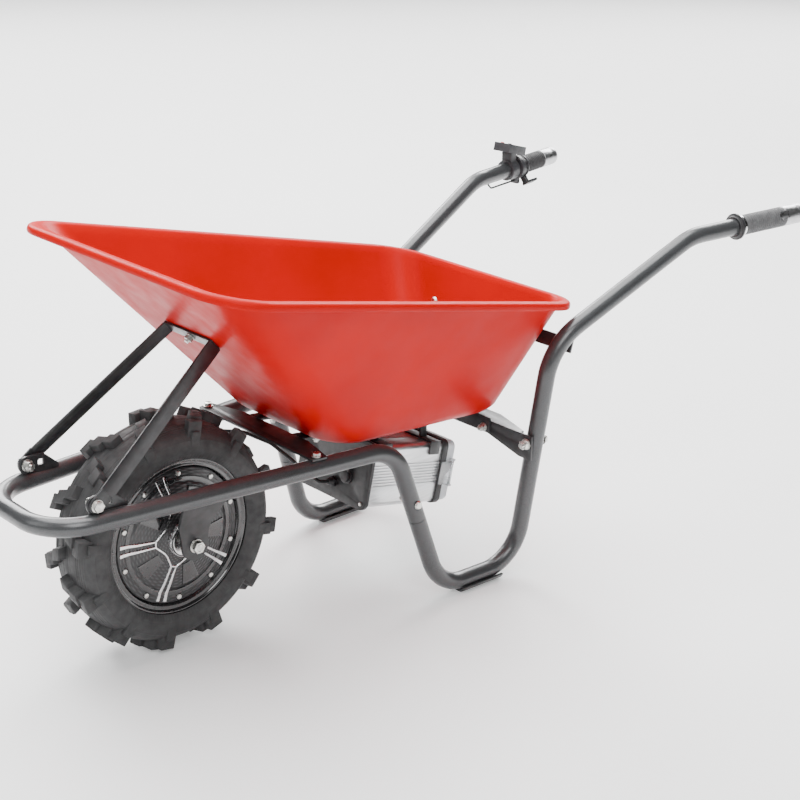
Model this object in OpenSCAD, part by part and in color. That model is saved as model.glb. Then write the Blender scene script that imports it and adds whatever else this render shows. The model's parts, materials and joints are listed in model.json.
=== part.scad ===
// Power wheelbarrow: a tub on a bent tube frame, one hub-motor wheel in front, battery box under the tub.
// Modelled from the wheel axle: X runs back to the handles, Y to the user's right, Z up from the ground.
// Every sub-part is then shifted so that the origin is under the middle of the whole machine.

/* [Wheel] */
// Diameter over the tread lugs
tyre_od = 414; // [360:1:500]
// Width over the tyre's sidewalls
tyre_w = 112; // [95:1:130]
// Radial height of a tread lug
lug_h = 15; // [8:1:20]
// Lugs on each side of the tread
lug_count = 12; // [8:1:16]
// Turn of the tread so that a lug stands on the ground
tread_phase = -86; // [-90:1:-80]
// Thickness of the tyre's wall
tyre_wall = 7; // [5:0.5:9]
// Diameter over the rim flanges
rim_od = 278; // [250:1:290]
// Width over the rim flanges
rim_w = 92; // [80:1:100]
// Screw circle of the motor covers
screw_pcd = 224; // [200:1:230]
// Screws in each motor cover
screw_count = 10; // [6:1:12]
// Turn of the screw circle
screw_phase = 52.7; // [0:0.1:72]
// Width over the two motor cover rims
motor_w = 80; // [70:1:84]
// Width over the two hub bosses
hub_w = 128; // [110:1:140]
// Diameter of a hub boss
hub_boss_d = 58; // [50:1:70]

/* [Axle] */
// Thread diameter of the axle ends
axle_d = 12; // [10:1:16]
// Diameter of the axle inside the motor
axle_core_d = 20; // [18:1:26]
// Length of the axle
axle_l = 204; // [190:1:230]
// Distance between the outer faces of the two dropout plates
dropout_span = 180; // [168:1:190]

/* [Frame] */
// Tube diameter
tube_d = 32; // [26:0.5:38]
// Tube wall
tube_wall = 2; // [1.5:0.1:3]
// Height of the straight frame tube's centreline
frame_z = 311; // [300:1:340]
// Gap between the tyre and the nose loop's centreline
nose_gap = 68; // [50:1:90]
// Half spacing of the tubes at the nose corners
nose_half = 97; // [90:1:120]
// Sideways spread of the straight tubes for each millimetre back
splay = 0.115; // [0.08:0.005:0.15]
// Bend radius of the nose corners
nose_bend = 84; // [60:1:90]
// Bend radius at the top of the front legs
leg_bend = 70; // [55:1:80]
// Bend radius at the feet
foot_bend = 80; // [60:1:90]
// Half spacing of the tubes at the feet
foot_half = 197; // [185:1:210]
// Distance from the front of the tub floor back to the front leg's top bend
leg_setback = 139; // [120:1:160]
// How far back the front leg leans on its way down
leg_lean = 95; // [70:1:120]
// Length of the foot between its two bends' corners
foot_l = 189; // [165:1:230]
// Height of the seam between frame tube and leg tube
seam_z = 168; // [150:1:185]
// Length of the swaged end inside the frame tube
swage_l = 70; // [50:1:80]
// Thickness of the skid under each foot
skid_t = 5; // [3:0.5:8]
// Length of the skid
skid_l = 96; // [70:1:110]

/* [Handles] */
// Height of the bend where a rear leg turns into a handle
handle_low_z = 448; // [420:1:480]
// How far back the rear leg leans on its way up
rear_lean = 31; // [10:1:50]
// Length of the rising handle stretch, measured along X
handle_run = 313; // [280:1:350]
// Rise of that stretch
handle_rise = 157; // [130:1:180]
// Length of the level handle stretch, measured along X
grip_run = 270; // [250:1:300]
// Rise of the level stretch
grip_rise = 10; // [0:1:25]
// Sideways spread of a handle for each millimetre back
handle_splay = 0.148; // [0.1:0.005:0.18]
// Bend radius where a rear leg turns into a handle
low_bend = 110; // [80:1:130]
// Bend radius where a handle turns level
high_bend = 120; // [80:1:140]
// Diameter of a rubber grip
grip_d = 38; // [36:0.5:46]
// Length of a rubber grip
grip_l = 106; // [95:1:115]
// Length of a grip's end cap
cap_l = 48; // [30:1:55]

/* [Tub] */
// Gap between the tyre and the front of the tub floor
tub_gap = 18; // [12:1:40]
// Fall of the floor towards the back
floor_fall = 51; // [40:1:60]
// Length of the floor
floor_l = 465; // [400:1:520]
// Half width of the floor in front
floor_half_front = 168; // [150:1:190]
// Half width of the floor at the back
floor_half_rear = 134; // [115:1:150]
// Radius where the floor turns up into the walls
floor_round = 42; // [20:1:60]
// How far the rim reaches forward of the floor
rim_forward = 312; // [260:1:340]
// How far the rim reaches back of the floor
rim_back = 66; // [40:1:90]
// Height of the rim in front
rim_front_z = 694; // [640:1:720]
// Height of the rim at the back
rim_rear_z = 514; // [490:1:540]
// Half width of the rim in front
rim_half_front = 306; // [280:1:320]
// Half width of the rim at the back
rim_half_rear = 256; // [230:1:280]
// Corner radius of the rim
rim_corner = 88; // [60:1:110]
// Corner radius of the floor
floor_corner = 60; // [40:1:80]
// Wall thickness of the tub
tub_t = 4; // [3:0.5:6]
// Width of the rolled lip
lip_w = 16; // [10:1:22]
// Depth of the rolled lip
lip_h = 14; // [8:1:20]

/* [Battery box] */
// Width of the aluminium box
box_w = 186; // [170:1:200]
// Height of the aluminium box
box_h = 118; // [100:1:125]
// Length of the aluminium box
box_l = 166; // [150:1:190]
// Tilt of the box, down towards the back
box_tilt = 11.5; // [5:0.5:14]
// Distance from the front of the tub floor back to the box's front lower edge
box_setback = 146; // [130:1:180]
// Height of the box's front lower edge
box_z = 166; // [150:1:190]
// Wall of the aluminium box
box_wall = 3; // [2:0.5:4]
// Thickness of the front plate
front_plate_t = 9; // [6:1:12]
// Depth of the rear bezel
bezel_l = 14; // [10:1:20]
// Depth of the battery door
door_l = 24; // [18:1:30]

/* [Controls] */
// Length of the display along the handle
display_l = 62; // [50:1:80]
// Width of the display
display_w = 40; // [34:1:50]
// Thickness of the display
display_h = 18; // [14:1:24]
// Tilt of the display towards the user
display_tilt = 17; // [0:1:30]
// Turn of the thumb lever from rest to full throttle
throttle_turn = 40; // [30:1:50]
// Travel of a push button
button_travel = 1.5; // [1:0.1:2]

/* [Fits] */
// Radial clearance of a running fit
run_gap = 0.05; // [0.02:0.01:0.1]
// Gap between flat or curved faces that only rest on each other
seat_gap = 0.3; // [0.2:0.05:0.5]
// Extra radius of a clearance hole
hole_gap = 0.4; // [0.2:0.1:0.8]

/* [Hidden] */
$fn = 64;
cut = 1; // overlap that lets a cutter run past a face

// ---- Places that follow from the sizes above ----
tyre_r = tyre_od / 2;
axle_z = tyre_r;
tube_r = tube_d / 2;
bore_r = tube_r - tube_wall;
floor_x = tyre_r + tub_gap;            // front edge of the tub floor
plate_t = 4;                           // thickness of the pressed steel plates
floor_front_z = frame_z + tube_r + plate_t + 2;
floor_rear_x = floor_x + floor_l;
floor_rear_z = floor_front_z - floor_fall;
floor_angle = atan(floor_fall / floor_l);
rim_x = floor_x - rim_forward;         // front edge of the tub rim
rim_rear_x = floor_rear_x + rim_back;
rim_angle = atan((rim_front_z - rim_rear_z) / (rim_rear_x - rim_x));

bend_lap = 1;                          // how far a bend laps over its straight neighbours
bend_swell = 0.035;                    // how much thicker a bend is than its neighbours, for each mm of radius
nose_x = -tyre_r - nose_gap;
leg_top_x = floor_x + leg_setback;
skid_flat = 0.8;                       // depth of the flat on a skid's underside
bend_r = tube_r * (1 + bend_swell);
foot_z = bend_r + skid_t + seat_gap - skid_flat;
foot_x = leg_top_x + leg_lean;
rear_foot_x = foot_x + foot_l;
low_x = rear_foot_x + rear_lean;
high_x = low_x + handle_run;
grip_x = high_x + grip_run;

function tube_y(x) = nose_half + splay * (x - nose_x);
function handle_y(x) = low_y + handle_splay * (x - low_x);
low_y = foot_half + 0.18 * (low_x - foot_x);
nose_point = [nose_x, nose_half, frame_z];
leg_top = [leg_top_x, tube_y(leg_top_x), frame_z];
foot_front = [foot_x, foot_half - 3, foot_z];
foot_rear = [rear_foot_x, foot_half + 2, foot_z];
low_point = [low_x, low_y, handle_low_z];
high_point = [high_x, handle_y(high_x), handle_low_z + handle_rise];
grip_point = [grip_x, handle_y(grip_x), handle_low_z + handle_rise + grip_rise];

function unit(v) = v / norm(v);

// The whole machine runs from the nose loop's outer face to the grip caps' end faces.
cap_reach = 6;                         // how far a grip cap's face stands behind the tube's end
cap_face_r = grip_d / 2 - 5;
bar_l = norm(grip_point - high_point);
bar_dir = unit(grip_point - high_point);
front_x = nose_x - tube_r;
back_x = high_x + (bar_l + cap_reach) * bar_dir[0] + cap_face_r * sqrt(1 - pow(bar_dir[0], 2));
axle_x = -(front_x + back_x) / 2;      // the axle's place once the origin is under the middle
function flip(p) = [p[0], -p[1], p[2]];
function mix(a, b, t) = a + (b - a) * t;
function at_height(a, b, z) = mix(a, b, (z - a[2]) / (b[2] - a[2]));

seam = at_height(leg_top, foot_front, seam_z);
leg_dir = unit(foot_front - leg_top);

// ---- Shared builders ----
module from_axle() { translate([axle_x, 0, 0]) children(); }

module both_sides() { children(); mirror([0, 1, 0]) children(); }

// A frame whose Z axis runs along d and whose X axis stays near the given side.
module frame_at(p, d, side = [0, 1, 0]) {
    z = unit(d);
    y = unit(cross(z, side));
    x = cross(y, z);
    multmatrix([[x[0], y[0], z[0], p[0]], [x[1], y[1], z[1], p[1]], [x[2], y[2], z[2], p[2]]]) children();
}

module ring_2d(r, hollow) {
    difference() {
        circle(r);
        if (hollow > 0) circle(hollow);
    }
}

// A straight round bar or tube between two points.
module bar_between(a, b, r, hollow = 0) {
    side = abs(unit(b - a)[1]) > 0.9 ? [1, 0, 0] : [0, 1, 0];
    frame_at(a, b - a, side) linear_extrude(norm(b - a)) ring_2d(r, hollow);
}

// A round rod along corner points, with a true bend of radius bends[i - 1] at each inner corner.
// Each bend laps a little over its straight neighbours and is a hair thicker, as a pressed bend is.
function turn_at(p, i) = acos(unit(p[i] - p[i - 1]) * unit(p[i + 1] - p[i]));
function tangent_at(p, bends, i) =
    i == 0 || i == len(p) - 1 ? 0 : bends[i - 1] * tan(turn_at(p, i) / 2);
module bent_rod(p, bends, r, past = 0) {
    last = len(p) - 1;
    for (i = [0 : last - 1]) {
        d = unit(p[i + 1] - p[i]);
        from = i == 0 ? p[0] - d * past : p[i] + d * (tangent_at(p, bends, i) - bend_lap / 2);
        to = i == last - 1 ? p[last] + d * past : p[i + 1] - d * (tangent_at(p, bends, i + 1) - bend_lap / 2);
        bar_between(from, to, r);
    }
    for (i = [1 : last - 1]) {
        into = unit(p[i] - p[i - 1]);
        out = unit(p[i + 1] - p[i]);
        inward = unit(out - into * (out * into));
        centre = p[i] - into * tangent_at(p, bends, i) + inward * bends[i - 1];
        up = cross(-inward, into);
        lap = asin(bend_lap / bends[i - 1]);
        multmatrix([
            [-inward[0], into[0], up[0], centre[0]],
            [-inward[1], into[1], up[1], centre[1]],
            [-inward[2], into[2], up[2], centre[2]]
        ]) rotate([0, 0, -lap]) rotate_extrude(angle = turn_at(p, i) + 2 * lap)
            translate([bends[i - 1], 0]) circle(r * (1 + bend_swell));
    }
}
module bent_tube(p, bends, r, hollow) difference() {
    bent_rod(p, bends, r);
    bent_rod(p, bends, hollow, cut);
}

// A hexagon bolt along +Z: its head stands below the origin, its shank runs up.
module hex_bolt(d, grip, tail = 5) {
    translate([0, 0, -0.65 * d]) cylinder(h = 0.65 * d, d = 1.85 * d, $fn = 6);
    cylinder(h = grip + 0.85 * d + tail, d = d);
}

// Bolt and nut through a stack of the given thickness, washers included.
module bolted(d, grip) {
    washer_t = 1.6;
    union() {
        translate([0, 0, -washer_t]) hex_bolt(d, grip + 2 * washer_t);
        translate([0, 0, -washer_t]) cylinder(h = washer_t, d = 2.1 * d);
        translate([0, 0, grip]) cylinder(h = washer_t, d = 2.1 * d);
        translate([0, 0, grip + washer_t]) cylinder(h = 0.8 * d, d = 1.85 * d, $fn = 6);
    }
}

// ---- Tub ----
floor_slant = norm([floor_l, floor_fall]);
rim_slant = norm([rim_rear_x - rim_x, rim_front_z - rim_rear_z]);

module on_floor() { translate([floor_x, 0, floor_front_z]) rotate([0, floor_angle, 0]) children(); }
module on_rim() { translate([rim_x, 0, rim_front_z]) rotate([0, rim_angle, 0]) children(); }

// Four round corner posts of a slab whose front and rear edges have their own half widths.
module corner_posts(x0, x1, half0, half1, corner, h) {
    for (s = [-1, 1]) {
        translate([x0 + corner, s * (half0 - corner), 0]) cylinder(h = h, r = corner, $fn = 40);
        translate([x1 - corner, s * (half1 - corner), 0]) cylinder(h = h, r = corner, $fn = 40);
    }
}

// The tub as one solid, drawn in by t all round. Its lower edge turns up in steps:
// the low front wall leaves it at the third step, the steep rear wall at the fourth.
edge_turns = [0, 22, 44, 66];
function edge_in(turn) = floor_round * (1 - sin(turn));
function edge_up(turn) = floor_round * (1 - cos(turn));
module tub_solid(t) {
    hull() {
        on_floor() for (a = edge_turns) {
            in = t + edge_in(a);
            translate([0, 0, t + edge_up(a)])
                corner_posts(in, floor_slant - in, floor_half_front - in, floor_half_rear - in,
                    floor_corner, 0.2);
        }
        on_rim() {
            in = lip_w + t;
            translate([0, 0, t > 0 ? 0 : -0.5])
                corner_posts(in, rim_slant - in, rim_half_front - in, rim_half_rear - in,
                    rim_corner - in, 0.5);
        }
    }
}

// A flat slab in the rim's plane, drawn in by t all round.
module lip_slab(t, z, h) {
    on_rim() translate([0, 0, z]) hull()
        corner_posts(t, rim_slant - t, rim_half_front - t, rim_half_rear - t, rim_corner - t, h);
}

// Where the tub is bolted down: front brace, two floor bolts in front, two at the back, two in the rear wall.
// Each wall's outer face runs from the top of the rounded lower edge to the underside of the lip.
function floor_point(x, z) = [floor_x + x * cos(floor_angle) + z * sin(floor_angle), 0,
    floor_front_z - x * sin(floor_angle) + z * cos(floor_angle)];
function rim_point(x) = [rim_x + x * cos(rim_angle), 0, rim_front_z - x * sin(rim_angle)];
wall_foot = floor_point(edge_in(edge_turns[2]), edge_up(edge_turns[2]));
wall_dir = unit(rim_point(lip_w) - wall_foot);
wall_out = [-wall_dir[2], 0, wall_dir[0]];
brace_up = 258;                  // height of the brace bolt up the front wall
brace_seat = wall_foot + wall_dir * brace_up;
rear_wall_foot = floor_point(floor_slant - edge_in(edge_turns[3]), edge_up(edge_turns[3]));
rear_wall_dir = unit(rim_point(rim_slant - lip_w) - rear_wall_foot);
rear_wall_out = [rear_wall_dir[2], 0, -rear_wall_dir[0]];
bar_up = 136;                    // height of the upper crossbar up the rear wall
bar_seat = rear_wall_foot + rear_wall_dir * bar_up;
bar_bolt_y = 108;
floor_bolt_y = 60;
tray_bolt_d = 8;
floor_bolt_front = floor_round + tub_t + 12;
floor_bolt_rear = floor_l - floor_round - tub_t - 20;
wall_seat = 1.2 * tub_t;         // a sloping wall measured square to it, where its bolts sit

module wall_bolt_places() {
    frame_at(brace_seat, wall_out) children();
    for (s = [-1, 1]) frame_at(bar_seat + [0, s * bar_bolt_y, 0], rear_wall_out) children();
}
module floor_bolt_places() for (s = [-1, 1], x = [floor_bolt_front, floor_bolt_rear])
    on_floor() translate([x, s * floor_bolt_y, 0]) rotate([180, 0, 0]) children();

module tray() color("red") from_axle() difference() {
    union() {
        difference() { tub_solid(0); tub_solid(tub_t); }
        difference() {
            lip_slab(0, -lip_h, lip_h);
            lip_slab(tub_t, -lip_h - cut, lip_h + cut - tub_t);
            tub_solid(tub_t);
        }
    }
    tray_bolt_holes();
}
module tray_bolt_holes() {
    wall_bolt_places() translate([0, 0, -3 * tub_t]) cylinder(h = 8 * tub_t, d = tray_bolt_d + 2 * hole_gap);
    floor_bolt_places() translate([0, 0, -3 * tub_t]) cylinder(h = 8 * tub_t, d = tray_bolt_d + 2 * hole_gap);
}

// Mushroom head inside the tub, washer and nut outside.
module tray_bolt(wall) {
    translate([0, 0, -wall - seat_gap - 4]) cylinder(h = 4, r1 = 5, r2 = tray_bolt_d);
    translate([0, 0, -wall - 1]) cylinder(h = wall + plate_t + 14, d = tray_bolt_d);
    translate([0, 0, plate_t + 2 * seat_gap]) cylinder(h = 1.6, d = 17);
    translate([0, 0, plate_t + 2 * seat_gap + 1.6]) cylinder(h = 6.5, d = 14.8, $fn = 6);
}
module tray_bolts() color("silver") from_axle() {
    wall_bolt_places() tray_bolt(wall_seat);
    floor_bolt_places() tray_bolt(tub_t);
}

// ---- Frame ----
joint_bolt_d = 8;
lean_gap = 1.2;                  // room between a leaning tube and the washer or head beside it
joint_bolt = seam - leg_dir * 36;
cross_bolt_d = 10;
web_z = floor_rear_z - 20;       // height of the rear crossmember's bolts
web_top = web_z + 17;
web_deep = 46;
web_x = at_height(foot_rear, low_point, web_top - web_deep)[0] - tube_r - plate_t;
web_bolt = at_height(foot_rear, low_point, web_z);

module front_frame() color("dimgray") from_axle() difference() {
    bent_tube([flip(seam), flip(leg_top), flip(nose_point), nose_point, leg_top, seam],
        [leg_bend, nose_bend, nose_bend, leg_bend], tube_r, bore_r);
    both_sides() translate(joint_bolt) rotate([90, 0, 0])
        cylinder(h = 2 * tube_d, d = joint_bolt_d + 2 * hole_gap, center = true);
    both_sides() translate([cross_x, cross_bolt_y, frame_z])
        cylinder(h = 2 * tube_r, d = joint_bolt_d + 2 * hole_gap);
}

module handle_tube() difference() {
    union() {
        bent_tube([seam, foot_front, foot_rear, low_point, high_point, grip_point],
            [foot_bend, foot_bend, low_bend, high_bend], tube_r, bore_r);
        bar_between(seam - leg_dir * swage_l, seam + leg_dir * 12, bore_r - run_gap, bore_r - tube_wall);
        bar_between(seam + leg_dir, seam + leg_dir * 12, bore_r + tube_wall / 2, bore_r - tube_wall);
    }
    translate(joint_bolt) rotate([90, 0, 0])
        cylinder(h = 2 * tube_d, d = joint_bolt_d + 2 * hole_gap, center = true);
    translate(web_bolt) rotate([0, 90, 0])
        cylinder(h = 2 * tube_d, d = cross_bolt_d + 2 * hole_gap, center = true);
}
module handle_tube_right() color("dimgray") from_axle() handle_tube();
module handle_tube_left() color("dimgray") from_axle() mirror([0, 1, 0]) handle_tube();

module leg_joint_bolts() color("silver") from_axle() both_sides()
    translate(joint_bolt + [0, tube_r + lean_gap, 0]) rotate([90, 0, 0]) {
        translate([0, 0, -4]) cylinder(h = 4, r1 = 6, r2 = 8);
        cylinder(h = tube_d + 14, d = joint_bolt_d);
        translate([0, 0, tube_d + 2 * lean_gap]) cylinder(h = 6.5, d = 14.8, $fn = 6);
    }

// Skid: a channel that cups the bottom of the foot, its two ends turned up with the bends.
skid_x = (foot_x + rear_foot_x) / 2;
module skid() {
    dir = foot_rear - foot_front;
    middle = mix(foot_front, foot_rear, 0.5);
    frame_at(middle, dir, [0, 0, 1]) intersection() {
        linear_extrude(skid_l, center = true) difference() {
            circle(bend_r + skid_t + seat_gap);
            circle(bend_r + seat_gap);
            translate([-tube_r * 0.45, -2 * tube_r]) square(4 * tube_r);
            translate([-foot_z - 4 * tube_r, -2 * tube_r]) square(4 * tube_r);
        }
        rotate([0, 90, 0]) cylinder(h = 4 * tube_r, r = skid_l * 0.62, center = true);
    }
}
module skid_plates() color("black") from_axle() both_sides() skid();

// ---- Front brace ----
strap_w = 26;
strap_t = 4;
bracket_t = 5;
brace_half = 64;                 // half length of the brace's crosspiece
brace_foot_x = nose_x + 80;      // brace bolt on the frame
brace_foot_z = frame_z + tube_r + strap_w / 2 + 0.6;
brace_foot = [brace_foot_x, tube_y(brace_foot_x), brace_foot_z];
brace_bolt_d = 10;
knee_up = 24;                    // upright stretch of the strap above its bolt
brace_corner = brace_seat + wall_out * (strap_t / 2 + seat_gap) + [0, brace_half, 0];

module brace_leg() {
    // upright beside its bracket, then leaning inwards to the crosspiece;
    // in each frame Z runs up along the strap and X across its width
    all = brace_corner - brace_foot;
    low_dir = unit([all[0], 0, all[2]]);
    knee = brace_foot + low_dir * knee_up;
    frame_at(brace_foot, low_dir, [1, 0, 0]) difference() {
        union() {
            translate([-strap_w / 2, -strap_t / 2, 0]) cube([strap_w, strap_t, knee_up + 1]);
            rotate([90, 0, 0]) cylinder(h = strap_t, r = strap_w / 2, center = true);
        }
        rotate([90, 0, 0]) cylinder(h = 2 * strap_t, d = brace_bolt_d + 2 * hole_gap, center = true);
    }
    frame_at(knee, brace_corner - knee, [1, 0, 0])
        translate([-strap_w / 2, -strap_t / 2, 0]) cube([strap_w, strap_t, norm(brace_corner - knee)]);
}
module front_brace() color("#1a1a1a") from_axle() difference() {
    union() {
        both_sides() brace_leg();
        frame_at(brace_seat + wall_out * seat_gap, wall_out)
            translate([-brace_half, -strap_w / 2, 0]) cube([2 * brace_half, strap_w, strap_t]);
    }
    frame_at(brace_seat, wall_out) translate([0, 0, -cut]) cylinder(h = 3 * strap_t, d = tray_bolt_d + 2 * hole_gap);
}

bracket_l = 74;
module brace_bracket() {
    // an upright plate welded on the tube, its nose round about the brace bolt, with a square window
    out = strap_t / 2 + seat_gap;
    translate([brace_foot_x, brace_foot[1] - out, brace_foot_z]) rotate([90, 0, 0])
        difference() {
            union() {
                cylinder(h = bracket_t, r = 15);
                linear_extrude(bracket_t) polygon([[-15, 0], [-9, 12], [0, 15], [30, 15], [bracket_l - 15, -11],
                    [bracket_l - 15, -17], [-8, -17]]);
            }
            translate([0, 0, -cut]) cylinder(h = bracket_t + 2 * cut, d = brace_bolt_d + 2 * hole_gap);
            translate([20, -5, -cut]) cube([10, 10, bracket_t + 2 * cut]);
        }
}
module brace_brackets() color("#1a1a1a") from_axle() both_sides() difference() {
    brace_bracket();
    bar_between(nose_point, leg_top, bend_r + 0.05);
}

module brace_bolts() color("silver") from_axle() both_sides()
    translate(brace_foot + [0, strap_t / 2 + seat_gap, 0]) rotate([90, 0, 0])
        bolted(brace_bolt_d, strap_t + bracket_t + 3 * seat_gap);

// ---- Cross plates ----
cross_x = floor_x - 20;          // bolts of the front cross plate
cross_reach = 14;                // how far it runs back under the floor's front edge
cross_bolt_y = tube_y(cross_x);
module front_cross_plate() color("#1a1a1a") from_axle() difference() {
    // the plate lies on top of both tubes and carries the front of the tub floor
    translate([0, 0, frame_z + tube_r + seat_gap]) linear_extrude(plate_t) polygon([
        [cross_x - 14, -cross_bolt_y - 8], [cross_x + 14, -cross_bolt_y - 12],
        [floor_x + cross_reach, -floor_bolt_y - 30], [floor_x + cross_reach, floor_bolt_y + 30],
        [cross_x + 14, cross_bolt_y + 12], [cross_x - 14, cross_bolt_y + 8]
    ]);
    both_sides() translate([cross_x, cross_bolt_y, frame_z])
        cylinder(h = tube_d, d = joint_bolt_d + 2 * hole_gap);
}

module cross_plate_bolts() color("silver") from_axle() both_sides()
    translate([cross_x, cross_bolt_y, frame_z + tube_r + plate_t + 2 * seat_gap]) {
        cylinder(h = 1.6, d = 17);
        translate([0, 0, 1.6]) cylinder(h = 5.5, d = 14.8, $fn = 6);
        translate([0, 0, -tube_wall - plate_t - 4]) cylinder(h = plate_t + tube_wall + 5, d = joint_bolt_d);
    }

web_half = web_bolt[1] + 12;
web_shallow = 22;
tab_bolt_y = 115;
tab_bolt_z = web_top - 14;
module rear_crossmember() color("#1a1a1a") from_axle() difference() {
    union() {
        // upright web in front of the rear legs, deep at its ends
        translate([web_x - seat_gap, 0, 0]) rotate([90, 0, 90]) linear_extrude(plate_t) polygon([
            [-web_half, web_top], [web_half, web_top], [web_half, web_top - web_deep],
            [web_half - 30, web_top - web_deep], [tab_bolt_y - 8, web_top - web_shallow],
            [8 - tab_bolt_y, web_top - web_shallow], [30 - web_half, web_top - web_deep],
            [-web_half, web_top - web_deep]
        ]);
        // top flange, widest in the middle
        translate([0, 0, web_top - plate_t]) linear_extrude(plate_t) polygon([
            [web_x, -web_bolt[1] + tube_r + 3], [web_x, web_bolt[1] - tube_r - 3],
            [web_x + 12, web_bolt[1] - tube_r - 3], [web_x + 40, tab_bolt_y],
            [web_x + 40, -tab_bolt_y], [web_x + 12, -web_bolt[1] + tube_r + 3]
        ]);
    }
    both_sides() translate([web_x, web_bolt[1], web_bolt[2]]) rotate([0, 90, 0])
        cylinder(h = 4 * plate_t, d = cross_bolt_d + 2 * hole_gap, center = true);
    both_sides() translate([web_x, tab_bolt_y, tab_bolt_z]) rotate([0, 90, 0])
        cylinder(h = 4 * plate_t, d = joint_bolt_d + 2 * hole_gap, center = true);
}

module crossmember_bolts() color("silver") from_axle() both_sides() {
    // through the rear leg, its head behind the leg
    back = web_bolt[0] + tube_r + lean_gap;
    translate([back, web_bolt[1], web_bolt[2]]) rotate([0, -90, 0])
        bolted(cross_bolt_d, back - web_x + 2 * seat_gap);
    // through the web and the hanger's tab
    translate([web_x + plate_t, tab_bolt_y, tab_bolt_z]) rotate([0, -90, 0])
        bolted(joint_bolt_d, 2 * plate_t + 3 * seat_gap);
}

bar_w = 26;
ear_w = 24;
module upper_crossbar() color("#1a1a1a") from_axle() difference() {
    frame_at(bar_seat + rear_wall_out * seat_gap, rear_wall_out, [0, 1, 0]) {
        half = handle_y(bar_seat[0]) + 2;
        translate([-half, -bar_w / 2, 0]) cube([2 * half, bar_w, plate_t]);
        for (s = [-1, 1]) translate([s * (half - ear_w / 2) - ear_w / 2, -bar_w / 2, 0])
            cube([ear_w, 1.5 * bar_w, plate_t]);
    }
    both_sides() bent_rod([foot_rear, low_point, high_point], [low_bend], tube_r + seat_gap);
    both_sides() frame_at(bar_seat + [0, bar_bolt_y, 0], rear_wall_out)
        translate([0, 0, -cut]) cylinder(h = 3 * plate_t, d = tray_bolt_d + 2 * hole_gap);
}

// ---- Wheel ----
dropout_t = 5;
dropout_y = dropout_span / 2;
module dropout() difference() {
    tube_in = tube_y(0) - tube_r;
    intersection() {
        // seen from the side: broad at the tube, round about the axle
        translate([0, dropout_y + 60, 0]) rotate([90, 0, 0]) linear_extrude(120) union() {
            translate([0, axle_z]) circle(26);
            polygon([[-24, axle_z - 10], [22, axle_z - 12], [28, axle_z + 24], [52, frame_z - 30],
                [58, frame_z + 6], [-40, frame_z + 6], [-36, frame_z - 30]]);
        }
        // seen from the front: flat at the axle, then set outwards to the tube's inner side
        rotate([90, 0, 90]) linear_extrude(200, center = true) polygon([
            [dropout_y - dropout_t, axle_z - 30], [dropout_y, axle_z - 30], [dropout_y, axle_z + 38],
            [tube_in + 3, frame_z - 16], [tube_in + 3, frame_z + 4], [tube_in - 2, frame_z + 4],
            [tube_in - 2, frame_z - 13], [dropout_y - dropout_t, axle_z + 40]
        ]);
    }
    translate([0, dropout_y, axle_z]) rotate([90, 0, 0]) cylinder(h = 40, d = axle_d + 2 * run_gap, center = true);
    bar_between(nose_point, leg_top, tube_r + 0.01);
}
module dropout_right() color("#1a1a1a") from_axle() dropout();
module dropout_left() color("#1a1a1a") from_axle() mirror([0, 1, 0]) dropout();

module at_axle() { translate([0, 0, axle_z]) rotate([-90, 0, 0]) children(); }

core_half = dropout_y - dropout_t - seat_gap;
module axle() color("silver") from_axle() at_axle() difference() {
    union() {
        cylinder(h = axle_l, d = axle_d, center = true);
        cylinder(h = 2 * core_half, d = axle_core_d, center = true);
    }
    // the motor leads run out through the right end
    translate([0, 0, 20]) cylinder(h = axle_l, d = cable_d + 2 * run_gap);
}

washer_t = 2.5;
module axle_washers() color("silver") from_axle() at_axle() for (s = [0, 1]) mirror([0, 0, s])
    translate([0, 0, dropout_y + seat_gap]) difference() {
        cylinder(h = washer_t, d = 2 * axle_d);
        translate([0, 0, -cut]) cylinder(h = washer_t + 2 * cut, d = axle_d + 2 * run_gap);
    }

nut_h = 9;
module axle_nuts() color("silver") from_axle() at_axle() for (s = [0, 1]) mirror([0, 0, s])
    translate([0, 0, dropout_y + washer_t + 2 * seat_gap]) difference() {
        cylinder(h = nut_h, d = 1.83 * axle_d, $fn = 6);
        translate([0, 0, -cut]) cylinder(h = nut_h + 2 * cut, d = axle_d + 2 * run_gap);
    }

// Tyre section: a superellipse between the bead seat and the tread.
seat_r = rim_od / 2 - 15;                   // where the bead sits on the rim
tread_r = tyre_r - lug_h;
section_mid = (seat_r + tread_r) / 2;
section_half = (tread_r - seat_r) / 2;
function section(t, steps = 28, power = 0.82) = [for (i = [0 : steps - 1])
    let (a = 360 * i / steps, c = cos(a), d = sin(a))
    [section_mid + (section_half - t) * sign(c) * pow(abs(c), power),
     (tyre_w / 2 - t) * sign(d) * pow(abs(d), power)]];
bead_half = rim_w / 2 - 9;

module tyre_shell_2d() {
    difference() {
        polygon(section(0));
        polygon(section(tyre_wall));
        translate([0, -bead_half + 9]) square([section_mid, 2 * (bead_half - 9)]);
        rim_outline_2d(seat_gap);
    }
}

// One tread lug: a bar from the middle of the tread, a block on the shoulder and its root on the sidewall.
function lug_blocks() = [
    // [turn, span, inner y, outer y, inner radius, outer radius]
    [7, 7, -3, 17, tread_r - 8, tyre_r],
    [3, 7.5, 15, 36, tread_r - 9, tyre_r - 0.6],
    [-1, 9, 34, 51, section_mid + 12, tyre_r - 5],
    [-1, 6, 40, tyre_w / 2 + 1, section_mid + 2, tyre_r - 22]
];
module lug() for (b = lug_blocks()) rotate([0, 0, b[0] - b[1] / 2])
    rotate_extrude(angle = b[1]) translate([b[4], b[2]]) square([b[5] - b[4], b[3] - b[2]]);

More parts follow.
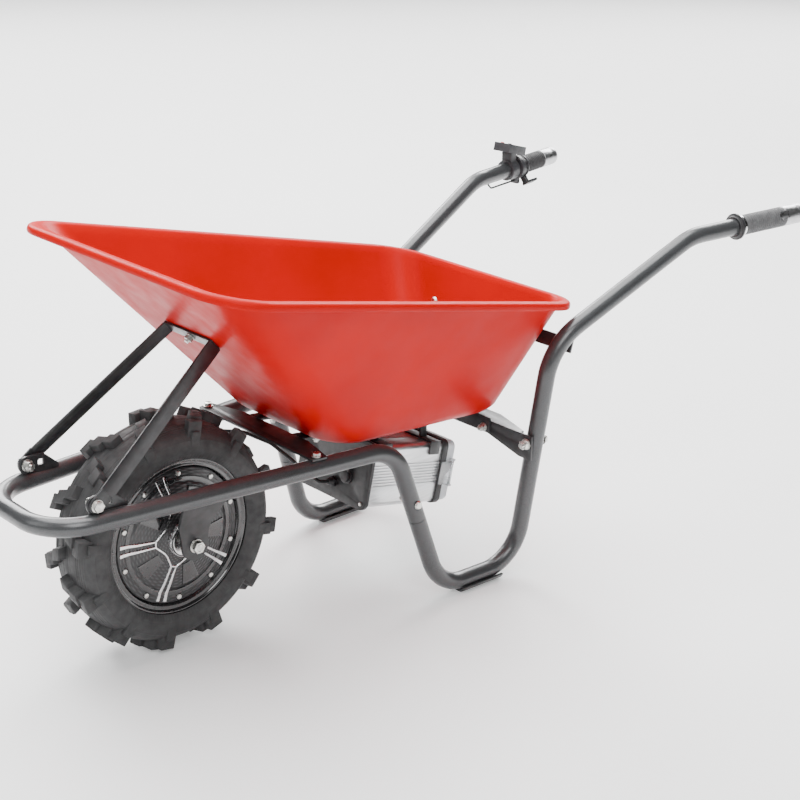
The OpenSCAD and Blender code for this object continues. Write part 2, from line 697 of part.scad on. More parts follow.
module tyre() color("#2a2a2a") from_axle() at_axle() difference() {
    union() {
        rotate_extrude() tyre_shell_2d();
        for (side = [0, 1], i = [0 : lug_count - 1]) mirror([0, 0, side])
            rotate([0, 0, -tread_phase + (i + side / 2) * 360 / lug_count]) lug();
    }
    rotate_extrude() polygon(section(tyre_wall));
}

module inner_tube() color("#222222") from_axle() at_axle() rotate_extrude() difference() {
    polygon(section(tyre_wall + seat_gap));
    polygon(section(tyre_wall + seat_gap + 2));
    rim_outline_2d(2 * seat_gap);
}

// Rim and motor shell, one casting: two flanges, two bead seats, a well and a ring for the covers' screws.
cover_r = screw_pcd / 2 + 8;
shell_r = screw_pcd / 2 - 9;
module rim_outline_2d(grow = 0) {
    g = grow;
    for (s = [-1, 1]) {
        // flange
        translate([seat_r - 4, s > 0 ? rim_w / 2 - 5 - g : -rim_w / 2 - g])
            square([rim_od / 2 - seat_r + 4 + g, 5 + 2 * g]);
        // bead seat
        translate([seat_r - 4, s > 0 ? 26 : -rim_w / 2]) square([4 + g, rim_w / 2 - 26]);
    }
    translate([seat_r - 4, -30]) square([4 + g, 60]);
}
module rim_shell() color("#151515") from_axle() at_axle() difference() {
    rotate_extrude() {
        rim_outline_2d();
        // barrel between the bead seats and the motor
        translate([shell_r, -motor_w / 2 + 5]) square([seat_r - shell_r, motor_w - 10]);
    }
    // tapped holes for the cover screws
    for (s = [0, 1]) mirror([0, 0, s]) at_cover_screws()
        translate([0, 0, motor_w / 2 - 20]) cylinder(h = 30, d = screw_d + 2 * run_gap);
    valve_pocket();
    rotate([0, 0, valve_turn]) translate([seat_r - 12, 0, valve_y]) rotate([0, 90, 0])
        cylinder(h = 30, d = valve_d + 2 * hole_gap);
}
module at_cover_screws() for (i = [0 : screw_count - 1])
    rotate([0, 0, -screw_phase - i * 360 / screw_count]) translate([screw_pcd / 2, 0, 0]) children();
screw_d = 5;
valve_d = 8;
valve_turn = 180 / screw_count * 15 - screw_phase;   // the valve stands between two cover screws
valve_y = 22;                   // the stem leaves the tyre here, then turns out sideways
valve_r = seat_r - 12;
module valve_pocket() rotate([0, 0, valve_turn]) translate([valve_r - 7, -8, valve_y - 7])
    cube([seat_r - valve_r + 2, 16, 60]);
module valve_stem() color("#222222") from_axle() at_axle() rotate([0, 0, valve_turn]) {
    translate([valve_r, 0, valve_y]) rotate([0, 90, 0]) cylinder(h = seat_r - valve_r + tyre_wall + 1, d = valve_d);
    translate([valve_r, 0, valve_y - valve_d / 2]) cylinder(h = 24, d = valve_d);
    translate([valve_r, 0, valve_y - valve_d / 2]) cylinder(h = 32, d = valve_d - 3);
}

// Motor cover: a flat ring under the screws, a dished face and a hub boss round the bearing.
bearing_od = 42;
bearing_w = 12;
bearing_z = motor_w / 2 - 6;
cover_z = motor_w / 2;
module motor_cover() difference() {
    rotate_extrude() polygon([
        [bearing_od / 2 + run_gap, cover_z - 8], [shell_r - 2, cover_z - 8], [shell_r - 2, cover_z - 5],
        [cover_r, cover_z - 5], [cover_r, cover_z - 1], [cover_r - 1, cover_z],
        [shell_r - 2, cover_z], [shell_r - 6, cover_z + 3], [hub_boss_d / 2 + 14, cover_z + 9],
        [hub_boss_d / 2, cover_z + 11], [hub_boss_d / 2, hub_w / 2 - 2], [hub_boss_d / 2 - 2, hub_w / 2],
        [axle_core_d / 2 + 2, hub_w / 2], [axle_core_d / 2 + 2, bearing_z + bearing_w + 1.5],
        [bearing_od / 2 + run_gap, bearing_z + bearing_w + 1.5]
    ]);
    at_cover_screws() cylinder(h = motor_w, d = screw_d + 2 * run_gap);
}
module motor_cover_right() color("#1c1c1c") from_axle() at_axle() difference() {
    motor_cover();
    valve_pocket();
}
module motor_cover_left() color("#1c1c1c") from_axle() at_axle() mirror([0, 0, 1]) motor_cover();

module cover_screws() color("silver") from_axle() at_axle() for (s = [0, 1]) mirror([0, 0, s]) at_cover_screws() {
    translate([0, 0, cover_z + seat_gap]) cylinder(h = 2.6, d = 8.5);
    translate([0, 0, cover_z - 16]) cylinder(h = 17, d = screw_d);
}

magnet_t = 3;
air_gap = 1;
stator_half = 22;
stator_r = shell_r - magnet_t - air_gap - seat_gap;
module magnet_ring() color("#777777") from_axle() at_axle() for (i = [0 : 19]) rotate([0, 0, 18 * i])
    rotate_extrude(angle = 17) translate([shell_r - magnet_t - run_gap, -stator_half])
        square([magnet_t, 2 * stator_half]);

stator_slots = 18;
module stator_core() color("#8a8f94") from_axle() at_axle() difference() {
    cylinder(h = 2 * stator_half, r = stator_r, center = true);
    cylinder(h = 3 * stator_half, r = axle_core_d / 2 + run_gap, center = true);
    for (i = [0 : stator_slots - 1]) rotate([0, 0, 360 / stator_slots * i]) {
        translate([stator_r * 0.62, -6, -2 * stator_half]) cube([stator_r * 0.26, 12, 4 * stator_half]);
        translate([stator_r * 0.85, -2, -2 * stator_half]) cube([stator_r * 0.2, 4, 4 * stator_half]);
    }
    for (i = [0 : 5]) rotate([0, 0, 60 * i + 30]) translate([stator_r * 0.4, 0, -2 * stator_half])
        cylinder(h = 4 * stator_half, r = stator_r * 0.12);
}

module stator_windings() color("#b06a32") from_axle() at_axle()
    for (i = [0 : stator_slots - 1]) rotate([0, 0, 360 / stator_slots * i])
        translate([stator_r * 0.63, -5, -stator_half - 6]) cube([stator_r * 0.24, 10, 2 * stator_half + 12]);

module wheel_bearings() color("silver") from_axle() at_axle() for (s = [0, 1]) mirror([0, 0, s])
    translate([0, 0, bearing_z]) difference() {
        cylinder(h = bearing_w, d = bearing_od);
        translate([0, 0, -cut]) cylinder(h = bearing_w + 2 * cut, d = axle_core_d + 2 * run_gap);
    }

// ---- Motor cable: out of the right axle end, up the dropout, back along the tube, down into the box ----
cable_d = 7;
gland_y = -5;
gland_z = 26;
box_x = floor_x + box_setback;
function box_point(x, y, z) = [
    box_x + x * cos(box_tilt) + z * sin(box_tilt), y, box_z - x * sin(box_tilt) + z * cos(box_tilt)];
gland_l = 16;
gland_end = box_point(-front_plate_t - gland_l, gland_y, gland_z);
gland_in = box_point(-front_plate_t - gland_l - 18, gland_y, gland_z);
under_tube = frame_z - tube_r - cable_d / 2 - seat_gap;
cable_path = [
    [0, axle_l / 2 - 8, axle_z], [0, axle_l / 2 + 14, axle_z], [34, tube_y(34) - 6, under_tube],
    [60, tube_y(60), under_tube], [floor_x - 40, tube_y(floor_x - 40), under_tube],
    [floor_x + 20, tube_y(floor_x) - 52, under_tube - 4], [floor_x + 52, 62, under_tube - 22],
    gland_in, gland_end
];
module motor_cable() color("#111111") from_axle() bent_rod(cable_path, [10, 14, 12, 30, 18, 26, 12], cable_d / 2);

clip_x = [80, floor_x - 62];
module cable_clips() color("#222222") from_axle() for (x = clip_x) {
    // a band round the tube and a saddle round the cable under it
    frame_at([x, tube_y(x), frame_z], leg_top - nose_point, [0, 0, 1]) difference() {
        linear_extrude(10) difference() {
            union() {
                circle(tube_r + seat_gap + 1.6);
                translate([-tube_r - cable_d / 2 - seat_gap, 0]) circle(cable_d / 2 + 2);
            }
            circle(tube_r + seat_gap);
            translate([-tube_r - cable_d / 2 - seat_gap, 0]) circle(cable_d / 2 + seat_gap);
        }
    }
}

// ---- Battery box, drawn along its own tilted axes ----
module in_box() { translate([box_x, 0, box_z]) rotate([0, box_tilt, 0]) children(); }
module box_face_2d(grow, r) {
    // the box's section, grown all round: X is its height, Y its width
    w = box_w / 2 + grow;
    translate([-grow + r, -w]) square([box_h + 2 * (grow - r), 2 * w]);
    translate([-grow, -w + r]) square([box_h + 2 * grow, 2 * (w - r)]);
    for (x = [-grow + r, box_h + grow - r], y = [r - w, w - r]) translate([x, y]) circle(r);
}
// Extrude a section along the box from x0 for a length.
module along_box(x0, l) in_box() translate([x0, 0, 0])
    rotate([0, 0, 180]) rotate([0, -90, 0]) linear_extrude(l) mirror([0, 1, 0]) children();

box_screw_d = 4;
screw_inset = 8;
port_r = 5;                      // radius of the screw ports in the box's corners
screw_ys = [-box_w / 2 + screw_inset, box_w / 2 - screw_inset];
screw_zs = [screw_inset, box_h - screw_inset];
groove_count = 8;
groove_pitch = 5.5;
module box_body() color("silver") from_axle() along_box(0, box_l) difference() {
    box_face_2d(0, 12);
    difference() {
        box_face_2d(-box_wall - 1, 9);
        for (y = screw_ys, z = screw_zs) translate([z, y]) circle(port_r);
    }
    for (y = screw_ys, z = screw_zs) translate([z, y]) circle(d = box_screw_d + 2 * run_gap);
    for (i = [0 : groove_count - 1], s = [-1, 1])
        translate([box_h * 0.36 + i * groove_pitch, s * box_w / 2]) circle(1.3);
    for (s = [-1, 1]) translate([box_h, s * box_w * 0.28]) circle(1.3);
}

module box_front_plate() color("#1a1a1a") from_axle() difference() {
    union() {
        along_box(-front_plate_t, front_plate_t - gasket_t) box_face_2d(4, 16);
        along_box(-gasket_t - cut, box_wall + gasket_t + cut) difference() {
            box_face_2d(-box_wall - 1 - seat_gap, 8);
            box_face_2d(-box_wall - 4, 6);
        }
    }
    in_box() {
        translate([-2 * front_plate_t, port_y, port_z]) rotate([0, 90, 0])
            cylinder(h = 4 * front_plate_t, d = port_d + 2 * run_gap);
        translate([-2 * front_plate_t, gland_y, gland_z]) rotate([0, 90, 0])
            cylinder(h = 4 * front_plate_t, d = gland_d + 2 * run_gap);
        for (y = screw_ys, z = screw_zs) translate([-2 * front_plate_t, y, z]) rotate([0, 90, 0]) {
            cylinder(h = 4 * front_plate_t, d = box_screw_d + 2 * run_gap);
            translate([0, 0, 2 * front_plate_t - gasket_t]) cylinder(h = 20, r = port_r + seat_gap);
        }
    }
}
gasket_t = 1.5;
port_y = -38;
port_z = 46;
port_d = 22;
gland_d = 14;
module box_gasket() color("#222222") from_axle() difference() {
    along_box(-gasket_t + 0.02, gasket_t - 0.04) difference() {
        box_face_2d(0, 12);
        box_face_2d(-box_wall - 1, 9);
    }
    in_box() for (y = screw_ys, z = screw_zs) translate([-20, y, z]) rotate([0, 90, 0])
        cylinder(h = 40, d = box_screw_d + hole_gap);
}
module box_screws() color("silver") from_axle() in_box() for (y = screw_ys, z = screw_zs) {
    translate([-front_plate_t - 2.6, y, z]) rotate([0, 90, 0]) cylinder(h = 2.5, d = 7);
    translate([-front_plate_t - 1, y, z]) rotate([0, 90, 0]) cylinder(h = front_plate_t + 13, d = box_screw_d);
}

module box_bezel() color("#1a1a1a") from_axle() along_box(box_l + 0.05, bezel_l) difference() {
    box_face_2d(bezel_grow, 14);
    box_face_2d(-box_wall - 3, 8);
}

// Door: a shell whose rim meets the bezel, hinged on its right edge.
door_x = box_l + 0.05 + bezel_l + seat_gap;
door_wall = 3;
bezel_grow = 3;                  // how far the bezel stands out round the box
knuckle_r = 5;
hinge_y = box_w / 2 + bezel_grow + knuckle_r + seat_gap;
hinge_x = door_x - 2;
pin_r = 2;
module box_door() color("lightgray") from_axle() difference() {
    union() {
        difference() {
            along_box(door_x, door_l) box_face_2d(1, 14);
            along_box(door_x - cut, door_l - door_wall + cut) box_face_2d(-door_wall, 10);
        }
        in_box() for (z = [box_h * 0.2, box_h * 0.65]) translate([0, 0, z]) {
            translate([hinge_x, hinge_y, 0]) cylinder(h = 18, r = knuckle_r);
            translate([hinge_x + 2.6, box_w / 2 - 1, 0]) cube([8, hinge_y - box_w / 2 + 4, 18]);
        }
        // two ears with the pin that the latch turns on
        in_box() {
            for (z = [box_h / 2 - latch_w / 2 - seat_gap - 4, box_h / 2 + latch_w / 2 + seat_gap])
                translate([latch_x - 4, latch_y - 3.5, z]) cube([8, -box_w / 2 - latch_y + 3.5, 4]);
            translate([latch_x, latch_y, box_h / 2 - latch_w / 2 - 2]) cylinder(h = latch_w + 4, r = latch_pin_r);
        }
    }
    in_box() translate([hinge_x, hinge_y, -10]) cylinder(h = box_h + 20, r = pin_r + run_gap);
}
module door_hinge_pin() color("silver") from_axle() in_box() {
    translate([hinge_x, hinge_y, box_h * 0.2 - 5]) cylinder(h = box_h * 0.45 + 26, r = pin_r);
    // ears of the bezel side that hold the pin
    for (z = [box_h * 0.2 - 3.5 - 6, box_h * 0.65 + 18.5]) translate([0, 0, z]) {
        translate([hinge_x, hinge_y, 0]) cylinder(h = 6, r = knuckle_r);
        translate([hinge_x - 10, box_w / 2 + bezel_grow + 0.05, 0]) cube([10, 7, 6]);
    }
}
latch_w = 44;
latch_pin_r = 1.5;
latch_x = door_x + door_l * 0.62;
latch_y = -box_w / 2 - 4.5;
module door_latch() color("gainsboro") from_axle() in_box() translate([0, 0, box_h / 2 - latch_w / 2]) difference() {
    union() {
        translate([latch_x, latch_y, 0]) cylinder(h = latch_w, r = 3);
        translate([box_l + 2, latch_y - 2, 0]) cube([latch_x - box_l - 2, 3, latch_w]);
    }
    translate([latch_x, latch_y, -cut]) cylinder(h = latch_w + 2 * cut, r = latch_pin_r + run_gap);
}

// Things inside the box: the pack slides onto its dock from the door, the controller stands beside it.
dock_x = 14;
dock_t = 16;
pack_inset = 15;
pack_w = 100;
pack_h = 95;
controller_h = 84;
box_floor = box_wall + 1 + seat_gap;
module battery_pack() color("#303030") from_axle() in_box() {
    translate([dock_x + dock_t, -box_w / 2 + pack_inset, box_floor])
        cube([box_l - dock_x - dock_t - 4, pack_w, pack_h]);
    translate([50, -box_w / 2 + pack_inset + 26, box_floor + pack_h - 1]) cube([70, 50, 9]);
}
module battery_dock() color("#202020") from_axle() in_box() difference() {
    translate([dock_x, -box_w / 2 + pack_inset, box_floor]) cube([dock_t - seat_gap, pack_w, pack_h]);
    translate([dock_x - 2, -box_w / 2 + pack_inset + 12, 30]) cube([10, pack_w - 24, 30]);
}
module controller() color("#9a9da0") from_axle() in_box() difference() {
    translate([dock_x, 30, box_floor]) cube([box_l - 30, 48, controller_h]);
    for (i = [0 : 6]) translate([0, 33 + i * 6.2, box_floor + controller_h - 8]) cube([box_l, 2.6, 12]);
}

module charge_port() color("#202020") from_axle() in_box()
    translate([-front_plate_t, port_y, port_z]) rotate([0, 90, 0]) difference() {
        union() {
            translate([0, 0, -1]) cylinder(h = front_plate_t + 7, d = port_d);
            translate([0, 0, -2.5]) cylinder(h = 2.4, d = port_d + 6);
            // ears and pin that the cap hangs on; here X runs down the plate and Z into the box
            for (y = [6.3, -9.3]) translate([-port_d / 2 - 8, y, -7.5]) cube([9, 3, 7.4]);
            translate([-port_d / 2 - 5, 9, -5.5]) rotate([90, 0, 0]) cylinder(h = 18, r = cap_pin_r);
        }
        translate([0, 0, -3]) cylinder(h = 12, d = 12);
        translate([0, 0, -3]) cylinder(h = 4, d = 14);
    }
port_face = -front_plate_t - 2.5;
cap_pin = [port_face - 3, port_z + port_d / 2 + 5];
cap_pin_r = 1.2;
module charge_cap() color("#151515") from_axle() in_box() translate([0, port_y, 0]) difference() {
    union() {
        translate([port_face - seat_gap - 5, 0, port_z]) rotate([0, 90, 0]) cylinder(h = 5, d = port_d);
        translate([port_face - seat_gap - 5, -5, port_z]) cube([4, 10, cap_pin[1] - port_z]);
        translate([cap_pin[0], 6, cap_pin[1]]) rotate([90, 0, 0]) cylinder(h = 12, r = 2.5);
    }
    translate([cap_pin[0], 7, cap_pin[1]]) rotate([90, 0, 0]) cylinder(h = 14, r = cap_pin_r + run_gap);
}

module cable_gland() color("#181818") from_axle() in_box()
    translate([-front_plate_t, gland_y, gland_z]) rotate([0, 90, 0]) difference() {
        union() {
            translate([0, 0, -1]) cylinder(h = front_plate_t + 5, d = gland_d);
            translate([0, 0, -6.1]) cylinder(h = 6, d = 20, $fn = 6);
            translate([0, 0, -gland_l]) cylinder(h = gland_l - 5, r1 = 5.5, r2 = 8.5);
        }
        translate([0, 0, -gland_l - cut]) cylinder(h = 60, d = cable_d - 1);
    }

// Two rails under the tub floor from the front cross plate to the rear crossmember,
// with two saddles that carry the box.
rail_w = 30;
rail_front = cross_reach + 1.5;
rail_rear = (web_x - seat_gap - seat_gap - plate_t - floor_x) / cos(floor_angle);
saddle_w = 24;
saddle_places = [10, box_l - 34];
saddle_t = 3;
module box_hangers() color("#1a1a1a") from_axle() difference() {
    union() {
        for (s = [-1, 1]) on_floor() translate([rail_front, s * floor_bolt_y - rail_w / 2, -plate_t - seat_gap])
            cube([rail_rear - rail_front + 1, rail_w, plate_t]);
        for (x = saddle_places) {
            in_box() translate([x, -box_w / 2 - saddle_t - seat_gap, box_h + seat_gap])
                cube([saddle_w, box_w + 2 * (saddle_t + seat_gap), saddle_t]);
            in_box() for (s = [0, 1]) mirror([0, s, 0]) translate([x, box_w / 2 + seat_gap, box_h - 22])
                cube([saddle_w, saddle_t, 22 + seat_gap + saddle_t]);
            low = box_point(x + saddle_w / 2, 0, box_h + seat_gap + saddle_t / 2);
            up_x = low[0];
            up_z = floor_front_z - (up_x - floor_x) * tan(floor_angle) - plate_t / 2 - seat_gap;
            for (s = [-1, 1]) translate([up_x - saddle_w / 2 + 4, s * floor_bolt_y - 2, low[2]])
                cube([saddle_w - 8, 4, up_z - low[2]]);
        }
        // tab that is bolted to the crossmember's web
        translate([web_x - plate_t - 2 * seat_gap, -tab_bolt_y - 14, tab_bolt_z - 9])
            cube([plate_t, 2 * tab_bolt_y + 28, floor_point(rail_rear, -plate_t / 2)[2] - tab_bolt_z + 9]);
    }
    tray_bolt_holes();
    both_sides() translate([web_x, tab_bolt_y, tab_bolt_z]) rotate([0, 90, 0])
        cylinder(h = 4 * plate_t, d = joint_bolt_d + 2 * hole_gap, center = true);
}

// ---- Handles: everything on a grip is drawn along the level tube, X back, from the bend ----
bar_pitch = asin((grip_point[2] - high_point[2]) / bar_l);
bar_yaw = atan(handle_splay);
module on_bar() { translate(high_point) rotate([0, 0, bar_yaw]) rotate([0, -bar_pitch, 0]) children(); }
module bar_ring(x, l, r_out, r_in = tube_r + run_gap) {
    translate([x, 0, 0]) rotate([0, 90, 0]) difference() {
        cylinder(h = l, r = r_out);
        translate([0, 0, -cut]) cylinder(h = l + 2 * cut, r = r_in);
    }
}
cap_x = bar_l + cap_reach - cap_l;
left_grip_x = cap_x - grip_l;
right_grip_l = 66;
right_grip_x = cap_x - right_grip_l;
grip_r = grip_d / 2;

module grip(x, l) bar_ring(x + 0.05, l - 0.1, grip_r);
module grip_left() color("#3a3a3a") from_axle() mirror([0, 1, 0]) on_bar() grip(left_grip_x, grip_l);
module grip_right() color("#2a2a2a") from_axle() on_bar() grip(right_grip_x, right_grip_l);

module grip_end_caps() color("silver") from_axle() both_sides() on_bar() translate([cap_x, 0, 0]) rotate([0, 90, 0])
    difference() {
        rotate_extrude() polygon([[0, 0], [grip_r - 0.5, 0], [grip_r, 2], [grip_r, cap_l - 5], [grip_r - 3, cap_l - 1],
            [cap_face_r, cap_l], [0, cap_l]]);
        translate([0, 0, -cut]) cylinder(h = cap_l - cap_reach + cut + run_gap, r = tube_r + run_gap);
    }

collar_l = 12;
ring_l = 6;
module grip_collars() color("#222222") from_axle() {
    mirror([0, 1, 0]) on_bar() {
        translate([left_grip_x - ring_l - collar_l, 0, 0]) rotate([0, 90, 0]) difference() {
            rotate_extrude() polygon([[0, 0], [tube_r + 4, 0], [tube_r + 9, 3], [tube_r + 9, 7], [tube_r + 5, 9],
                [tube_r + 4, collar_l - 0.05], [0, collar_l - 0.05]]);
            translate([0, 0, -cut]) cylinder(h = collar_l + 2 * cut, r = tube_r + run_gap);
        }
        bar_ring(left_grip_x - ring_l, ring_l, grip_r + 1);
    }
    on_bar() bar_ring(right_grip_x - 4, 4, grip_r + 1);
}

// Thumb throttle on the right handle: a clamp ring, a slot, and a lever that turns round the tube.
throttle_x = right_grip_x - 4 - 24;
throttle_l = 23.6;
lever_l = 8;
module throttle_housing() color("#1d1d1d") from_axle() on_bar() difference() {
    union() {
        bar_ring(throttle_x, throttle_l, tube_r + 9);
        translate([throttle_x + 2, -9, -tube_r - 18]) cube([8, 18, 14]);
    }
    bar_ring(throttle_x + 12, lever_l, tube_r + 12, tube_r + 2.5);
    translate([throttle_x + 6, 20, -tube_r - 13]) rotate([90, 0, 0]) cylinder(h = 40, d = 4);
}
module throttle_lever() color("#151515") from_axle() on_bar() union() {
    bar_ring(throttle_x + 12 + seat_gap, lever_l - 2 * seat_gap, tube_r + 8, tube_r + 2.5 + run_gap);
    // the thumb paddle, under and inside the tube, reaching back below the grip
    rotate([lever_rest, 0, 0]) {
        translate([throttle_x + 12 + seat_gap, -6, -tube_r - 22]) cube([lever_l - 2 * seat_gap, 12, 17]);
        translate([throttle_x + 12 + seat_gap, -8, -tube_r - 26]) cube([34, 16, 5]);
    }
}
lever_rest = -35;

display_x = throttle_x - 30;
display_z = tube_r + 20;
module on_display() { on_bar() translate([display_x + 12, 0, display_z]) rotate([0, display_tilt, 0]) children(); }
module display_housing() color("#2b2b2b") from_axle() difference() {
    union() {
        on_bar() bar_ring(display_x, 24, tube_r + 6);
        on_bar() translate([display_x + 3, -12, tube_r - 2]) cube([18, 24, display_z - tube_r + 4]);
        on_display() difference() {
            translate([-display_l / 2, -display_w / 2, 0]) cube([display_l, display_w, display_h]);
            translate([-display_l / 2 + 5, -display_w / 2 + 4, display_h - 2]) cube([display_l - 10, display_w - 18, 3]);
            for (x = button_xs) translate([x, button_y, display_h - 5]) cylinder(h = 10, d = button_d + 2 * run_gap);
        }
    }
    on_bar() translate([display_x - cut, 0, 0]) rotate([0, 90, 0]) cylinder(h = 24 + 2 * cut, r = tube_r + run_gap);
}
button_d = 8;
button_y = display_w / 2 - 8;
button_xs = [-14, 14];
module display_screen() color("#101820") from_axle() on_display()
    translate([-display_l / 2 + 5.1, -display_w / 2 + 4.1, display_h - 2])
        cube([display_l - 10.2, display_w - 18.2, 1.6]);
module push_button(x) from_axle() on_display() translate([x, button_y, display_h - 3]) cylinder(h = 4.8, d = button_d);
module power_button() color("#b02020") push_button(button_xs[0]);
module mode_button() color("#404040") push_button(button_xs[1]);

// Throttle cable: from the display clamp, under the tube, into the handle through a grommet.
hole_x = 46;
module throttle_cable() color("#111111") from_axle() on_bar() {
    bent_rod([[throttle_x + 1.9, 0, -tube_r - 12], [hole_x + 10, 0, -tube_r - 12], [hole_x, 0, -tube_r - 1.7]], [10], 2);
}

// ---- What is drawn ----
tray();
tray_bolts();
front_frame();
handle_tube_left();
handle_tube_right();
skid_plates();
front_brace();
brace_brackets();
brace_bolts();
front_cross_plate();
cross_plate_bolts();
rear_crossmember();
crossmember_bolts();
upper_crossbar();
leg_joint_bolts();
dropout_left();
dropout_right();
axle();
axle_nuts();
axle_washers();
tyre();
inner_tube();
valve_stem();
rim_shell();
motor_cover_left();
motor_cover_right();
cover_screws();
magnet_ring();
stator_core();
stator_windings();
wheel_bearings();
motor_cable();
cable_clips();
box_body();
box_front_plate();
box_gasket();
box_screws();
box_bezel();
box_door();
door_hinge_pin();
door_latch();
battery_pack();
controller();
battery_dock();
charge_port();
charge_cap();
cable_gland();
box_hangers();
grip_left();
grip_right();
grip_end_caps();
grip_collars();
throttle_housing();
throttle_lever();
display_housing();
display_screen();
power_button();
mode_button();
throttle_cable();
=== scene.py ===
import json
import math

import bmesh
import bpy
from mathutils import Matrix, Vector


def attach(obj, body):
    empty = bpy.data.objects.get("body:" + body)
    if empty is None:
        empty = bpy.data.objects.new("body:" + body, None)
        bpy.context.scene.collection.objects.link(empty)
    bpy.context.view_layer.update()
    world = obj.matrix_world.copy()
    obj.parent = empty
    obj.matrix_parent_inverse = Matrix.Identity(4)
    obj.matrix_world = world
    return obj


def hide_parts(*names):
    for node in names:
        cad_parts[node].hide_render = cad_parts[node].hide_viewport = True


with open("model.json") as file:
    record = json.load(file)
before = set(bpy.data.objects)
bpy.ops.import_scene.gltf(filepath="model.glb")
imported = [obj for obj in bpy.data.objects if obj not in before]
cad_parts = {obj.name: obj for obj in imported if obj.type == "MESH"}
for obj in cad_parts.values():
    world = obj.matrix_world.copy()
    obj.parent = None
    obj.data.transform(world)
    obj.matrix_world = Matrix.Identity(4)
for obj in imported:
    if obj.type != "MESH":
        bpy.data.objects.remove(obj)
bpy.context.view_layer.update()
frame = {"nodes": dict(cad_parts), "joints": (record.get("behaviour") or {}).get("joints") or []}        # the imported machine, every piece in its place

NODES = frame["nodes"]
AXLE = Vector(next(j for j in frame["joints"] if j["name"] == "wheel_spin")["pos_m"])
MM = 0.001


def at(x, y, z):
    """A point given in millimetres: back from the wheel axle, to the right, and up from the ground."""
    return Vector((AXLE.x + x * MM, y * MM, z * MM))


def facing(place, along, side=(0, 1, 0)):
    """A frame at a place, its Z running along a direction and its X close to the given side."""
    z = Vector(along).normalized()
    y = z.cross(Vector(side)).normalized()
    x = y.cross(z)
    turn = Matrix((x, y, z)).transposed().to_4x4()
    return Matrix.Translation(place) @ turn


# ---- Workshop: how a piece is started, shaped and finished ----
def deselect():
    if bpy.context.object and bpy.context.object.mode != "OBJECT":
        bpy.ops.object.mode_set(mode="OBJECT")
    bpy.ops.object.select_all(action="DESELECT")


def take(piece):
    deselect()
    piece.select_set(True)
    bpy.context.view_layer.objects.active = piece
    return piece


def begun(name):
    piece = bpy.context.object
    piece.name = name
    piece.data.name = name
    return piece


def edit(piece):
    take(piece)
    bpy.ops.object.mode_set(mode="EDIT")


def shape_done():
    bpy.ops.object.mode_set(mode="OBJECT")


def pick(piece, kind, test):
    """In edit mode, leave only the faces, edges or vertices selected that pass the test."""
    bpy.ops.mesh.select_mode(type=kind)
    bpy.ops.mesh.select_all(action="DESELECT")
    mesh = bmesh.from_edit_mesh(piece.data)
    for item in {"FACE": mesh.faces, "EDGE": mesh.edges, "VERT": mesh.verts}[kind]:
        if test(item):
            item.select_set(True)
    mesh.select_flush_mode()
    bmesh.update_edit_mesh(piece.data)


def outward(piece):
    """Merge what meets and turn every face outwards."""
    edit(piece)
    bpy.ops.mesh.select_all(action="SELECT")
    bpy.ops.mesh.remove_doubles(threshold=0.000005)
    bpy.ops.mesh.normals_make_consistent(inside=False)
    shape_done()


def eased(piece, width, segments=2, angle=30, profile=0.5):
    """Round the sharp edges of a finished shape."""
    take(piece)
    bevel = piece.modifiers.new("ease", "BEVEL")
    bevel.width = width * MM
    bevel.segments = segments
    bevel.limit_method = "ANGLE"
    bevel.angle_limit = math.radians(angle)
    bevel.profile = profile
    bpy.ops.object.modifier_apply(modifier=bevel.name)


def smooth(piece, angle=38):
    take(piece)
    bpy.ops.object.shade_smooth_by_angle(angle=math.radians(angle))


def settle(piece, where=None):
    """Put a piece where it belongs, and leave its object unturned at the origin."""
    if where is not None:
        piece.matrix_world = where
    take(piece)
    bpy.ops.object.transform_apply(location=True, rotation=True, scale=True)


def joined(name, pieces):
    deselect()
    for piece in pieces:
        piece.select_set(True)
    bpy.context.view_layer.objects.active = pieces[0]
    bpy.ops.object.join()
    return begun(name)


def copied(piece, where):
    """A copy with its own mesh, moved by the given frame."""
    take(piece)
    bpy.ops.object.duplicate()
    twin = bpy.context.object
    settle(twin, where)
    if where.determinant() < 0:
        edit(twin)
        bpy.ops.mesh.select_all(action="SELECT")
        bpy.ops.mesh.flip_normals()
        shape_done()
    return twin


def fitted(piece, body, slot, finish, *nodes):
    """The last step: its finish, the body it moves with, and the drawn pieces that it stands for."""
    piece.data.materials.clear()
    piece.data.materials.append(finish)
    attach(piece, body)
    if nodes:
        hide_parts(*nodes)
    return piece


def block(name, low, high, where, ease=0.0, segments=2):
    """A block from its low to its high corner in millimetres, edges eased, placed by a frame."""
    deselect()
    size = [(h - l) * MM for l, h in zip(low, high)]
    middle = [(h + l) / 2 * MM for l, h in zip(low, high)]
    bpy.ops.mesh.primitive_cube_add(size=1, location=middle, scale=size)
    piece = begun(name)
    settle(piece)
    if ease:
        eased(piece, ease, segments)
    settle(piece, where)
    return piece


def turned(name, outline, where, steps=64, closed=False):
    """A turned piece: a chain of edges drawn through (height, radius) pairs in millimetres, then spun."""
    deselect()
    bpy.ops.mesh.primitive_plane_add(size=0.001)
    piece = begun(name)
    bpy.ops.object.mode_set(mode="EDIT")
    bpy.ops.mesh.select_mode(type="VERT")
    bpy.ops.mesh.merge(type="CENTER")
    chain = list(outline) + ([outline[0]] if closed else [])
    bpy.ops.transform.translate(value=(chain[0][1] * MM, 0, chain[0][0] * MM))
    for (z0, r0), (z1, r1) in zip(chain, chain[1:]):
        bpy.ops.mesh.extrude_region_move(
            TRANSFORM_OT_translate={"value": ((r1 - r0) * MM, 0, (z1 - z0) * MM)})
    bpy.ops.mesh.select_all(action="SELECT")
    bpy.ops.mesh.spin(steps=steps, angle=2 * math.pi, center=(0, 0, 0), axis=(0, 0, 1))
    shape_done()
    outward(piece)
    settle(piece, where)
    return piece


